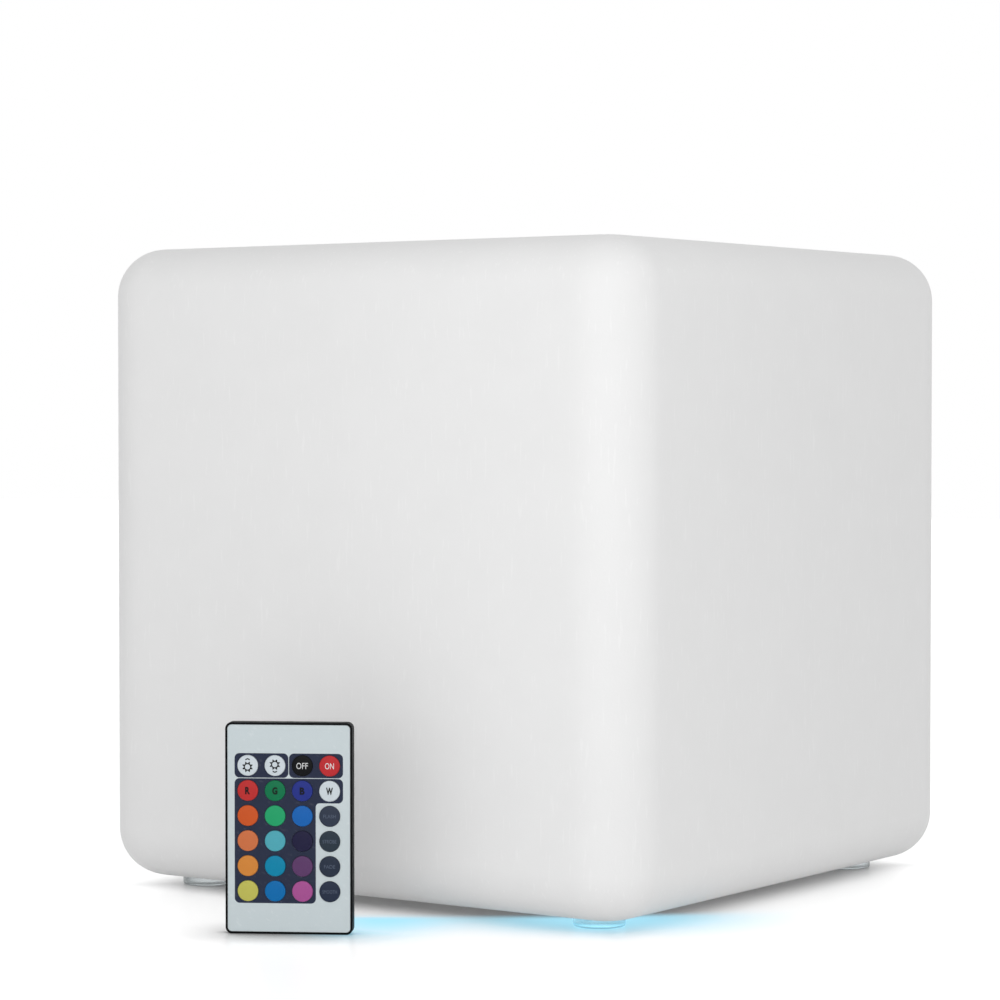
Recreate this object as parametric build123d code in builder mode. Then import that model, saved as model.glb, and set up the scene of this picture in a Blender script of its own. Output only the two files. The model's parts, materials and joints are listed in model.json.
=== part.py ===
"""LED cube light with its infrared handset, in millimetres, +Z up.

The origin is the centre of the cube's footprint on the floor, -Y is the front of the cube.
The cube is a hollow moulded shell on four feet. A lamp unit is screwed up into a round
recess in its underside: gasket, moulded base, battery, control board, LED board and dome.
The handset stands on its lower edge in front of the cube, turned towards its right corner.
"""

import math
import os

from build123d import *

os.makedirs("parts", exist_ok=True)

# ------------------------------------------------------------------ moulded cube
cube_width = 594.0
cube_height = 590.0
upright_edge_radius = 56.0
rim_edge_radius = 45.0
shell_wall = 4.0

# Feet: a pad under the shell and a stem with a barbed head through its bottom wall
foot_height = 10.0
foot_radius = 23.0
foot_edge_radius = 2.0
foot_spread = 222.0
foot_stem_radius = 5.0
foot_barb_radius = 6.6
foot_barb_height = 4.0
foot_stem_clearance = 0.3

# Recess in the underside and the opening that the lamp unit goes up through
recess_radius = 100.0
recess_depth = 14.0
recess_mouth_radius = 3.0
insert_boss_radius = 8.0
insert_boss_height = 14.0
insert_radius = 3.6
insert_length = 10.0

# ------------------------------------------------------------------ lamp unit
lamp_screw_count = 8
lamp_screw_circle_radius = 86.0
lamp_screw_radius = 2.0
lamp_screw_length = 13.0
lamp_screw_head_radius = 3.8
lamp_screw_head_height = 2.4
screw_hole_clearance = 0.3
thread_clearance = 0.05

gasket_thickness = 2.0
flange_gap = 3.0
flange_thickness = 5.0
flange_edge_radius = 1.0
tub_radius = 72.0
tub_height = 47.0
tub_wall = 3.0
tub_floor_thickness = 3.0
tub_opening_gap = 2.0
board_ledge_depth = 7.0
board_ledge_width = 4.0
board_ledge_thickness = 2.0

# LED board, LED packages and infrared receiver
led_board_thickness = 1.6
led_board_gap = 0.3
led_size = 5.0
led_height = 1.6
led_outer_count = 12
led_outer_circle_radius = 52.0
led_inner_count = 6
led_inner_circle_radius = 28.0
receiver_width = 7.0
receiver_depth = 5.0
receiver_height = 6.0
receiver_edge_radius = 1.0

# Diffuser dome
dome_wall = 2.0
dome_flange_thickness = 2.0
dome_side_height = 16.0
dome_rise = 24.0

# Battery pack: two round cells side by side in a shrink wrap, under a screwed strap
cell_radius = 9.4
cell_pitch = 18.8
pack_length = 67.0
pack_offset = 27.0
pack_rest_gap = 0.1
pack_end_radius = 1.5
clamp_width = 14.0
clamp_thickness = 1.6
clamp_foot_length = 10.0
clamp_clearance = 0.2
clamp_post_height = 5.0

# Control board on its posts, and the screws that hold board and strap
control_board_length = 84.0
control_board_width = 32.0
control_board_thickness = 1.6
control_board_offset = -18.0
board_post_height = 9.0
post_radius = 3.2
post_inset = 4.0
inner_screw_radius = 1.2
inner_screw_length = 6.0
inner_screw_head_radius = 2.4
inner_screw_head_height = 1.6
lead_plug_length = 8.0
lead_plug_width = 6.0
lead_plug_height = 5.0
lead_plug_spread = 30.0
driver_chip_size = 10.0
driver_chip_height = 1.8
regulator_radius = 5.0
regulator_height = 6.0
regulator_offset = 13.0

# Charging socket, push switch and charge light, side by side in the tub's floor
panel_row_offset = -48.0
panel_pitch = 27.0
panel_flange_thickness = 1.5
panel_hole_clearance = 0.1

socket_barrel_radius = 5.5
socket_flange_radius = 7.5
socket_length = 13.0
socket_bore_radius = 2.75
socket_bore_depth = 9.0
socket_pin_radius = 1.0
socket_nut_flats = 14.0
nut_thickness = 2.5
hexagon_sides = 6

cover_head_thickness = 1.6
cover_head_overlap = 1.0
cover_plug_length = 5.0
cover_plug_clearance = 0.1
cover_pin_clearance = 0.35
cover_tab_length = 5.0
cover_tab_width = 6.0
cover_tab_edge_radius = 1.0
cover_seat_gap = 0.1

switch_barrel_radius = 8.0
switch_flange_radius = 10.0
switch_length = 17.0
switch_nut_flats = 20.0
switch_button_radius = 5.5
switch_button_proud = 1.2
switch_button_length = 6.0
switch_button_travel = 1.5
switch_button_clearance = 0.1
switch_button_edge = 0.5

charge_light_radius = 2.5
charge_light_head_radius = 3.6
charge_light_head_height = 0.8
charge_light_length = 6.0

# Leads inside the tub
lead_radius = 0.9
lead_bend_radius = 8.0
lead_pitch = 2.4
battery_lead_reach = 11.0
battery_lead_rise = 8.5
battery_lead_side_step = 2.0
battery_lead_up_step = 1.7
flat_lead_width = 6.0
flat_lead_thickness = 1.4
flat_lead_bend_radius = 5.0
flat_lead_shift = 12.0
flat_lead_straight = 7.0
panel_lead_bend_radius = 4.0
panel_lead_rise = 6.0
panel_lead_edge_inset = 4.0

# ------------------------------------------------------------------ handset
handset_x = 30.0
handset_y = -415.0
handset_turn = 30.0
handset_width = 110.0
handset_height = 182.0
handset_depth = 14.0
handset_corner_radius = 5.6
handset_split_depth = 5.0
handset_wall = 1.9
handset_back_wall = 2.0
front_edge_radius = 0.5
back_edge_radius = 1.4

overlay_recess = 0.4
overlay_thickness = 0.4
overlay_gap = 0.1
deck_thickness = 1.6

# Keys: a domed cap in a hole of the deck, held up behind it by a flange
key_column_pitch = 23.6
key_row_pitch = 21.6
key_top_margin = 37.0
key_radius = 8.85
key_gap = 0.3
key_proud = 0.9
key_dome_rise = 0.7
key_flange_width = 1.1
key_flange_thickness = 1.0
key_seat_gap = 0.1
key_travel = 0.8
key_end_gap = 0.2
key_edge_radius = 0.3
key_names = (
    ("brighter", "dimmer", "off", "on"),
    ("red", "green", "blue", "white"),
    ("vermilion", "mint", "azure", "flash"),
    ("orange", "cyan", "indigo", "strobe"),
    ("amber", "teal", "purple", "fade"),
    ("yellow", "sky", "pink", "smooth"),
)

# Rubber contact mat and circuit board behind the keys
mat_side_gap = 3.1
mat_margin = 22.0
mat_thickness = 0.6
mat_dome_radius = 5.0
mat_dome_height = 1.2
mat_dome_taper = 30.0
handset_board_thickness = 1.2
board_rest_radius = 2.5
board_rest_inset = 5.0
board_rest_rows = 3

# Case screws
case_screw_inset_x = 9.0
case_screw_inset_y = 10.0
case_screw_radius = 0.9
case_screw_length = 7.2
case_screw_head_radius = 2.0
case_screw_head_height = 1.5
case_screw_sink = 3.0
case_boss_radius = 3.2

# Infrared emitter in the top edge
emitter_radius = 2.5
emitter_body_length = 8.0
emitter_gap = 0.2
emitter_drop = 0.7
emitter_lead_radius = 0.25
emitter_lead_pitch = 2.54
emitter_lead_overlap = 3.0

# Coin cell behind a round cover that turns out of three notches
cell_top_margin = 120.0
coin_radius = 10.0
coin_thickness = 2.5
coin_edge_radius = 0.3
coin_gap = 0.4
cover_plate_radius = 15.5
cover_plate_thickness = 1.0
cover_plate_gap = 0.3
cover_neck_wall = 1.6
cover_neck_gap = 0.3
cover_lug_count = 3
cover_lug_reach = 1.6
cover_lug_width = 7.0
cover_lug_thickness = 0.9
cover_lug_gap = 0.3
cover_notch_gap = 0.4
cover_turn = 45.0
coin_slot_width = 2.0
coin_slot_length = 18.0
coin_slot_depth = 0.5
coin_rest_gap = 0.1
contact_width = 4.0
contact_thickness = 0.3
contact_pitch = 8.0
contact_foot_length = 3.0
contact_reach = 7.0

# ------------------------------------------------------------------ derived levels
shell_bottom = foot_height
shell_inner_floor = shell_bottom + shell_wall
recess_ceiling = shell_bottom + recess_depth
opening_radius = tub_radius + tub_opening_gap
flange_radius = recess_radius - flange_gap
flange_top = recess_ceiling - gasket_thickness
base_underside = flange_top - flange_thickness
tub_inner_radius = tub_radius - tub_wall
tub_floor_top = base_underside + tub_floor_thickness
tub_top = base_underside + tub_height
board_ledge_top = tub_top - board_ledge_depth
led_board_radius = tub_inner_radius - led_board_gap
led_board_top = board_ledge_top + led_board_thickness


def save(builder, label):
    """Name the finished piece and write it as one STEP file."""
    builder.part.label = label
    export_step(builder.part, f"parts/{label}.step")


def rounded_block(width, height, upright_radius, rim_radius, base):
    """A square block on the level `base` with every edge rounded."""
    with BuildPart() as block:
        with BuildSketch(Plane.XY.offset(base)):
            RectangleRounded(width, width, upright_radius)
        extrude(amount=height)
        rims = block.faces().sort_by(Axis.Z)[0].edges() + block.faces().sort_by(Axis.Z)[-1].edges()
        fillet(rims, rim_radius)
    return block.part


def upward_holes(level):
    """A plane facing down at `level`, from which holes are drilled upwards."""
    return Plane(origin=(0, 0, level), x_dir=(1, 0, 0), z_dir=(0, 0, -1))


# ================================================================== moulded cube
shell_skin = rounded_block(
    cube_width, cube_height, upright_edge_radius, rim_edge_radius, shell_bottom
)
shell_hollow = rounded_block(
    cube_width - 2 * shell_wall,
    cube_height - 2 * shell_wall,
    upright_edge_radius - shell_wall,
    rim_edge_radius - shell_wall,
    shell_inner_floor,
)

with BuildPart() as cube_shell:
    add(shell_skin)
    add(shell_hollow, mode=Mode.SUBTRACT)
    with BuildSketch(Plane.XY.offset(shell_bottom)):
        Circle(recess_radius + shell_wall)
    extrude(amount=recess_depth + shell_wall)
    with BuildSketch(Plane.XY.offset(recess_ceiling)):
        with PolarLocations(lamp_screw_circle_radius, lamp_screw_count):
            Circle(insert_boss_radius)
    extrude(amount=insert_boss_height)
    with BuildSketch(Plane.XY.offset(shell_bottom)):
        Circle(recess_radius)
    extrude(amount=recess_depth, mode=Mode.SUBTRACT)
    mouth = (
        cube_shell.edges()
        .filter_by(GeomType.CIRCLE)
        .filter_by_position(Axis.Z, shell_bottom, shell_bottom)
        .sort_by(SortBy.LENGTH)[-1]
    )
    fillet(mouth, recess_mouth_radius)
    with BuildSketch(Plane.XY.offset(recess_ceiling)):
        Circle(opening_radius)
    extrude(amount=shell_wall, mode=Mode.SUBTRACT)
    with BuildSketch(Plane.XY.offset(recess_ceiling)):
        with PolarLocations(lamp_screw_circle_radius, lamp_screw_count):
            Circle(insert_radius)
    extrude(amount=insert_length, mode=Mode.SUBTRACT)
    with BuildSketch(Plane.XY.offset(shell_bottom)):
        with GridLocations(2 * foot_spread, 2 * foot_spread, 2, 2):
            Circle(foot_stem_radius + foot_stem_clearance)
    extrude(amount=shell_wall, mode=Mode.SUBTRACT)
save(cube_shell, "cube_shell")

# Threaded inserts moulded into the bosses round the opening
with BuildPart() as shell_inserts:
    with BuildSketch(Plane.XY.offset(recess_ceiling)):
        with PolarLocations(lamp_screw_circle_radius, lamp_screw_count):
            Circle(insert_radius)
            Circle(lamp_screw_radius + thread_clearance, mode=Mode.SUBTRACT)
    extrude(amount=insert_length)
save(shell_inserts, "shell_inserts")

with BuildPart() as corner_feet:
    with BuildSketch():
        with GridLocations(2 * foot_spread, 2 * foot_spread, 2, 2):
            Circle(foot_radius)
    extrude(amount=foot_height)
    fillet(corner_feet.faces().group_by(Axis.Z)[0].edges(), foot_edge_radius)
    with BuildSketch(Plane.XY.offset(foot_height)):
        with GridLocations(2 * foot_spread, 2 * foot_spread, 2, 2):
            Circle(foot_stem_radius)
    extrude(amount=shell_wall)
    with BuildSketch(Plane.XY.offset(shell_inner_floor)):
        with GridLocations(2 * foot_spread, 2 * foot_spread, 2, 2):
            Circle(foot_barb_radius)
    barb_taper = math.degrees(math.atan((foot_barb_radius - foot_stem_radius) / foot_barb_height))
    extrude(amount=foot_barb_height, taper=barb_taper)
save(corner_feet, "corner_feet")

# ================================================================== lamp unit
with BuildPart() as base_gasket:
    with BuildSketch(Plane.XY.offset(flange_top)):
        Circle(flange_radius)
        Circle(opening_radius, mode=Mode.SUBTRACT)
        with PolarLocations(lamp_screw_circle_radius, lamp_screw_count):
            Circle(lamp_screw_radius + screw_hole_clearance, mode=Mode.SUBTRACT)
    extrude(amount=gasket_thickness)
save(base_gasket, "base_gasket")

board_post_top = tub_floor_top + board_post_height
clamp_post_top = tub_floor_top + clamp_post_height
clamp_screw_reach = cell_pitch / 2 + cell_radius + clamp_clearance + clamp_thickness + clamp_foot_length / 2
post_reach_x = control_board_length / 2 - post_inset
post_reach_y = control_board_width / 2 - post_inset
board_post_points = [
    (side * post_reach_x, control_board_offset + end * post_reach_y)
    for side in (-1, 1)
    for end in (-1, 1)
]
clamp_post_points = [(0, pack_offset - clamp_screw_reach), (0, pack_offset + clamp_screw_reach)]
panel_holes = {
    "charging_socket": (-panel_pitch, socket_barrel_radius),
    "switch": (0.0, switch_barrel_radius),
    "charge_light": (panel_pitch, charge_light_radius),
}

with BuildPart() as lamp_base:
    with BuildSketch(Plane.XY.offset(base_underside)):
        Circle(flange_radius)
    extrude(amount=flange_thickness)
    fillet(lamp_base.faces().sort_by(Axis.Z)[0].edges(), flange_edge_radius)
    with BuildSketch(Plane.XY.offset(base_underside)):
        Circle(tub_radius)
    extrude(amount=tub_height)
    with BuildSketch(Plane.XY.offset(tub_floor_top)):
        Circle(tub_inner_radius)
    extrude(until=Until.LAST, mode=Mode.SUBTRACT)
    with BuildSketch(Plane.XY.offset(board_ledge_top - board_ledge_thickness)):
        Circle(tub_inner_radius)
        Circle(tub_inner_radius - board_ledge_width, mode=Mode.SUBTRACT)
    extrude(amount=board_ledge_thickness)
    with BuildSketch(Plane.XY.offset(tub_floor_top)):
        with Locations(*board_post_points):
            Circle(post_radius)
            Circle(inner_screw_radius + thread_clearance, mode=Mode.SUBTRACT)
    extrude(amount=board_post_height)
    with BuildSketch(Plane.XY.offset(tub_floor_top)):
        with Locations(*clamp_post_points):
            Circle(post_radius)
            Circle(inner_screw_radius + thread_clearance, mode=Mode.SUBTRACT)
    extrude(amount=clamp_post_height)
    with Locations(upward_holes(base_underside)):
        with PolarLocations(lamp_screw_circle_radius, lamp_screw_count):
            CounterBoreHole(
                lamp_screw_radius + screw_hole_clearance,
                lamp_screw_head_radius + screw_hole_clearance,
                lamp_screw_head_height,
                flange_thickness,
            )
    for offset_x, barrel_radius in panel_holes.values():
        with BuildSketch(Plane.XY.offset(base_underside)):
            with Locations((offset_x, panel_row_offset)):
                Circle(barrel_radius + panel_hole_clearance)
        extrude(amount=tub_floor_thickness, mode=Mode.SUBTRACT)
save(lamp_base, "lamp_base")

with BuildPart() as base_screws:
    with BuildSketch(Plane.XY.offset(base_underside)):
        with PolarLocations(lamp_screw_circle_radius, lamp_screw_count):
            Circle(lamp_screw_head_radius)
    extrude(amount=lamp_screw_head_height)
    with BuildSketch(Plane.XY.offset(base_underside + lamp_screw_head_height)):
        with PolarLocations(lamp_screw_circle_radius, lamp_screw_count):
            Circle(lamp_screw_radius)
    extrude(amount=lamp_screw_length)
save(base_screws, "base_screws")

# ------------------------------------------------------------------ battery and its strap
pack_level = tub_floor_top + pack_rest_gap + cell_radius

with BuildPart() as battery_pack:
    with BuildSketch(Plane.YZ):
        with Locations((pack_offset, pack_level)):
            SlotCenterToCenter(cell_pitch, 2 * cell_radius)
    extrude(amount=pack_length / 2, both=True)
    end_faces = battery_pack.faces().filter_by(Axis.X)
    fillet(end_faces.edges(), pack_end_radius)
save(battery_pack, "battery_pack")

strap_inner_radius = cell_radius + clamp_clearance
strap_outer_radius = strap_inner_radius + clamp_thickness
strap_leg_height = pack_level - clamp_post_top

with BuildPart() as battery_clamp:
    with BuildSketch(Plane.YZ):
        with Locations((pack_offset, pack_level)):
            SlotCenterToCenter(cell_pitch, 2 * strap_outer_radius)
        with Locations((pack_offset, clamp_post_top)):
            Rectangle(
                cell_pitch + 2 * strap_outer_radius, strap_leg_height, align=(Align.CENTER, Align.MIN)
            )
            Rectangle(
                cell_pitch + 2 * strap_outer_radius + 2 * clamp_foot_length,
                clamp_thickness,
                align=(Align.CENTER, Align.MIN),
            )
        with Locations((pack_offset, pack_level)):
            SlotCenterToCenter(cell_pitch, 2 * strap_inner_radius, mode=Mode.SUBTRACT)
        with Locations((pack_offset, pack_level)):
            Rectangle(
                cell_pitch + 2 * strap_inner_radius,
                2 * strap_outer_radius,
                align=(Align.CENTER, Align.MAX),
                mode=Mode.SUBTRACT,
            )
        with Locations((pack_offset, clamp_post_top)):
            Rectangle(
                cell_pitch + 2 * strap_outer_radius + 2 * clamp_foot_length,
                strap_outer_radius,
                align=(Align.CENTER, Align.MAX),
                mode=Mode.SUBTRACT,
            )
    extrude(amount=clamp_width / 2, both=True)
    with BuildSketch(Plane.XY.offset(clamp_post_top)):
        with Locations(*clamp_post_points):
            Circle(inner_screw_radius + screw_hole_clearance)
    extrude(amount=clamp_thickness, mode=Mode.SUBTRACT)
save(battery_clamp, "battery_clamp")

# ------------------------------------------------------------------ control board
control_board_top = board_post_top + control_board_thickness
lead_plug_top = control_board_top + lead_plug_height
lead_plug_y = control_board_offset + control_board_width / 4

with BuildPart() as control_board:
    with BuildSketch(Plane.XY.offset(board_post_top)):
        with Locations((0, control_board_offset)):
            Rectangle(control_board_length, control_board_width)
        with Locations(*board_post_points):
            Circle(inner_screw_radius + screw_hole_clearance, mode=Mode.SUBTRACT)
    extrude(amount=control_board_thickness)
    with BuildSketch(Plane.XY.offset(control_board_top)):
        with Locations((-lead_plug_spread, lead_plug_y), (lead_plug_spread, lead_plug_y)):
            Rectangle(lead_plug_length, lead_plug_width)
    extrude(amount=lead_plug_height)
    with BuildSketch(Plane.XY.offset(control_board_top)):
        with Locations((0, control_board_offset)):
            Rectangle(driver_chip_size, driver_chip_size)
    extrude(amount=driver_chip_height)
    with BuildSketch(Plane.XY.offset(control_board_top)):
        with Locations((regulator_offset, control_board_offset), (-regulator_offset, control_board_offset)):
            Circle(regulator_radius)
    extrude(amount=regulator_height)
save(control_board, "control_board")

# Small screws: four through the control board, two through the battery strap
with BuildPart() as inner_screws:
    for seat_level, points in (
        (control_board_top, board_post_points),
        (clamp_post_top + clamp_thickness, clamp_post_points),
    ):
        with BuildSketch(Plane.XY.offset(seat_level)):
            with Locations(*points):
                Circle(inner_screw_head_radius)
        extrude(amount=inner_screw_head_height)
        with BuildSketch(Plane.XY.offset(seat_level)):
            with Locations(*points):
                Circle(inner_screw_radius)
        extrude(amount=-inner_screw_length)
save(inner_screws, "inner_screws")

# ------------------------------------------------------------------ socket, switch and charge light
panel_flange_bottom = base_underside - panel_flange_thickness

with BuildPart() as charging_socket:
    with BuildSketch(Plane.XY.offset(panel_flange_bottom)):
        with Locations((-panel_pitch, panel_row_offset)):
            Circle(socket_flange_radius)
    extrude(amount=panel_flange_thickness)
    with BuildSketch(Plane.XY.offset(panel_flange_bottom)):
        with Locations((-panel_pitch, panel_row_offset)):
            Circle(socket_barrel_radius)
    extrude(amount=socket_length)
    with BuildSketch(Plane.XY.offset(panel_flange_bottom)):
        with Locations((-panel_pitch, panel_row_offset)):
            Circle(socket_bore_radius)
            Circle(socket_pin_radius, mode=Mode.SUBTRACT)
    extrude(amount=socket_bore_depth, mode=Mode.SUBTRACT)
save(charging_socket, "charging_socket")

with BuildPart() as socket_nut:
    with BuildSketch(Plane.XY.offset(tub_floor_top)):
        with Locations((-panel_pitch, panel_row_offset)):
            RegularPolygon(socket_nut_flats / 2, hexagon_sides, major_radius=False)
            Circle(socket_barrel_radius + thread_clearance, mode=Mode.SUBTRACT)
    extrude(amount=nut_thickness)
save(socket_nut, "socket_nut")

cover_head_top = panel_flange_bottom - cover_seat_gap

with BuildPart() as socket_cover:
    with BuildSketch(Plane.XY.offset(cover_head_top)):
        with Locations((-panel_pitch, panel_row_offset)):
            Circle(socket_flange_radius + cover_head_overlap)
        with Locations((-panel_pitch - socket_flange_radius - cover_head_overlap, panel_row_offset)):
            Rectangle(2 * cover_tab_length, cover_tab_width)
    extrude(amount=-cover_head_thickness)
    fillet(socket_cover.edges().filter_by(Axis.Z), cover_tab_edge_radius)
    with BuildSketch(Plane.XY.offset(cover_head_top)):
        with Locations((-panel_pitch, panel_row_offset)):
            Circle(socket_bore_radius - cover_plug_clearance)
            Circle(socket_pin_radius + cover_pin_clearance, mode=Mode.SUBTRACT)
    extrude(amount=cover_plug_length)
save(socket_cover, "socket_cover")

button_rest_level = panel_flange_bottom - switch_button_proud
button_bore_top = button_rest_level + switch_button_length + switch_button_travel + switch_button_clearance

with BuildPart() as power_switch:
    with BuildSketch(Plane.XY.offset(panel_flange_bottom)):
        with Locations((0, panel_row_offset)):
            Circle(switch_flange_radius)
    extrude(amount=panel_flange_thickness)
    with BuildSketch(Plane.XY.offset(panel_flange_bottom)):
        with Locations((0, panel_row_offset)):
            Circle(switch_barrel_radius)
    extrude(amount=switch_length)
    with BuildSketch(Plane.XY.offset(panel_flange_bottom)):
        with Locations((0, panel_row_offset)):
            Circle(switch_button_radius + switch_button_clearance)
    extrude(amount=button_bore_top - panel_flange_bottom, mode=Mode.SUBTRACT)
save(power_switch, "power_switch")

with BuildPart() as switch_nut:
    with BuildSketch(Plane.XY.offset(tub_floor_top)):
        with Locations((0, panel_row_offset)):
            RegularPolygon(switch_nut_flats / 2, hexagon_sides, major_radius=False)
            Circle(switch_barrel_radius + thread_clearance, mode=Mode.SUBTRACT)
    extrude(amount=nut_thickness)
save(switch_nut, "switch_nut")

with BuildPart() as power_button:
    with BuildSketch(Plane.XY.offset(button_rest_level)):
        with Locations((0, panel_row_offset)):
            Circle(switch_button_radius)
    extrude(amount=switch_button_length)
    fillet(power_button.faces().sort_by(Axis.Z)[0].edges(), switch_button_edge)
save(power_button, "power_button")

with BuildPart() as charge_light:
    with BuildSketch(Plane.XY.offset(base_underside - charge_light_head_height)):
        with Locations((panel_pitch, panel_row_offset)):
            Circle(charge_light_head_radius)
    extrude(amount=charge_light_head_height)
    with BuildSketch(Plane.XY.offset(base_underside)):
        with Locations((panel_pitch, panel_row_offset)):
            Circle(charge_light_radius)
    extrude(amount=charge_light_length)
save(charge_light, "charge_light")

# ------------------------------------------------------------------ LED board and dome
with BuildPart() as led_board:
    with BuildSketch(Plane.XY.offset(board_ledge_top)):
        Circle(led_board_radius)
    extrude(amount=led_board_thickness)
save(led_board, "led_board")

with BuildPart() as leds:
    with BuildSketch(Plane.XY.offset(led_board_top)):
        with PolarLocations(led_outer_circle_radius, led_outer_count):
            Rectangle(led_size, led_size)
        with PolarLocations(led_inner_circle_radius, led_inner_count):
            Rectangle(led_size, led_size)
    extrude(amount=led_height)
save(leds, "leds")

with BuildPart() as ir_receiver:
    with BuildSketch(Plane.XY.offset(led_board_top)):
        Rectangle(receiver_width, receiver_depth)
    extrude(amount=receiver_height)
    fillet(ir_receiver.faces().sort_by(Axis.Z)[-1].edges(), receiver_edge_radius)
save(ir_receiver, "ir_receiver")

dome_side_top = tub_top + dome_side_height
dome_apex = dome_side_top + dome_rise


def dome_solid(radius, base, apex):
    """A round body on the level `base` with straight sides and a cap that rises to `apex`."""
    cap_rise = apex - dome_side_top
    cap_radius = (radius**2 + cap_rise**2) / (2 * cap_rise)
    with BuildPart() as body:
        with BuildSketch(Plane.XZ):
            with BuildLine():
                Polyline((0, apex), (0, base), (radius, base), (radius, dome_side_top))
                RadiusArc((radius, dome_side_top), (0, apex), -cap_radius)
            make_face()
        revolve(axis=Axis.Z)
    return body.part


dome_skin = dome_solid(tub_inner_radius, tub_top, dome_apex)
dome_hollow = dome_solid(tub_inner_radius - dome_wall, led_board_top, dome_apex - dome_wall)

with BuildPart() as light_dome:
    add(dome_skin)
    with BuildSketch(Plane.XY.offset(tub_top)):
        Circle(tub_radius)
    extrude(amount=dome_flange_thickness)
    with BuildSketch(Plane.XY.offset(led_board_top)):
        Circle(led_board_radius)
    extrude(amount=tub_top - led_board_top)
    add(dome_hollow, mode=Mode.SUBTRACT)
save(light_dome, "light_dome")

# ------------------------------------------------------------------ leads inside the tub
battery_end = -pack_length / 2
battery_turn_x = battery_end - battery_lead_reach
battery_over_z = lead_plug_top + battery_lead_rise

with BuildPart() as battery_lead:
    for step in range(2):
        side = step * battery_lead_side_step
        up = step * battery_lead_up_step
        with BuildLine() as wire_route:
            FilletPolyline(
                (battery_end, pack_offset + side, pack_level + up),
                (battery_turn_x, pack_offset + side, pack_level + up),
                (battery_turn_x, lead_plug_y + side, battery_over_z + up),
                (-lead_plug_spread, lead_plug_y + side, battery_over_z + up),
                (-lead_plug_spread, lead_plug_y + side, lead_plug_top),
                radius=lead_bend_radius,
            )
        with BuildSketch(Plane(wire_route.line @ 0, z_dir=wire_route.line % 0)):
            Circle(lead_radius)
        sweep(path=wire_route.line)
save(battery_lead, "battery_lead")

with BuildPart() as led_lead:
    with BuildLine() as flat_route:
        FilletPolyline(
            (lead_plug_spread, lead_plug_y, lead_plug_top),
            (lead_plug_spread, lead_plug_y, lead_plug_top + flat_lead_straight),
            (lead_plug_spread, lead_plug_y + flat_lead_shift, board_ledge_top - flat_lead_straight),
            (lead_plug_spread, lead_plug_y + flat_lead_shift, board_ledge_top),
            radius=flat_lead_bend_radius,
        )
    with BuildSketch(Plane.XY.offset(lead_plug_top)):
        with Locations((lead_plug_spread, lead_plug_y)):
            Rectangle(flat_lead_width, flat_lead_thickness)
    sweep(path=flat_route.line)
save(led_lead, "led_lead")

panel_lead_tops = {
    -panel_pitch: panel_flange_bottom + socket_length,
    0.0: panel_flange_bottom + switch_length,
    panel_pitch: base_underside + charge_light_length,
}
panel_lead_end = control_board_offset - control_board_width / 2 + panel_lead_edge_inset
panel_lead_over = panel_flange_bottom + switch_length + panel_lead_rise

with BuildPart() as panel_leads:
    for offset_x, start_level in panel_lead_tops.items():
        for wire_x in (offset_x - lead_pitch / 2, offset_x + lead_pitch / 2):
            with BuildLine() as short_route:
                FilletPolyline(
                    (wire_x, panel_row_offset, start_level),
                    (wire_x, panel_row_offset, panel_lead_over),
                    (wire_x, panel_lead_end, panel_lead_over),
                    (wire_x, panel_lead_end, control_board_top),
                    radius=panel_lead_bend_radius,
                )
            with BuildSketch(Plane.XY.offset(start_level)):
                with Locations((wire_x, panel_row_offset)):
                    Circle(lead_radius)
            sweep(path=short_route.line)
save(panel_leads, "panel_leads")

# ================================================================== handset
# Its own plane: X across the face, Y up, Z out of the face. Its origin is on the floor.
turn_angle = math.radians(handset_turn)
handset_face = Plane(
    origin=(handset_x, handset_y, 0),
    x_dir=(math.cos(turn_angle), math.sin(turn_angle), 0),
    z_dir=(math.sin(turn_angle), -math.cos(turn_angle), 0),
)
outward = handset_face.z_dir

# Levels below the front rim, negative towards the back
overlay_top = -overlay_recess
deck_top = overlay_top - overlay_thickness
deck_back = deck_top - deck_thickness
key_flange_front = deck_back - key_seat_gap
key_back = key_flange_front - key_flange_thickness
key_shoulder = overlay_top + key_proud
mat_dome_top = key_back - key_travel - key_end_gap
mat_front = mat_dome_top - mat_dome_height
handset_board_front = mat_front - mat_thickness
handset_board_back = handset_board_front - handset_board_thickness
back_outer = -handset_depth
back_inner = back_outer + handset_back_wall

handset_middle = (0, handset_height / 2)
cell_level = handset_height - cell_top_margin
inner_width = handset_width - 2 * handset_wall
inner_height = handset_height - 2 * handset_wall
inner_corner_radius = handset_corner_radius - handset_wall
mat_width = inner_width - 2 * mat_side_gap
board_height = handset_height - 2 * mat_margin
board_rest_span_x = mat_width - 2 * board_rest_inset
board_rest_pitch = (board_height - 2 * board_rest_inset) / (board_rest_rows - 1)
case_screw_points = [
    (side * (handset_width / 2 - case_screw_inset_x), level)
    for side in (-1, 1)
    for level in (case_screw_inset_y, handset_height - case_screw_inset_y)
]
key_centres = {
    name: (
        (column - (len(row_names) - 1) / 2) * key_column_pitch,
        handset_height - key_top_margin - row * key_row_pitch,
    )
    for row, row_names in enumerate(key_names)
    for column, name in enumerate(row_names)
}

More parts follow.
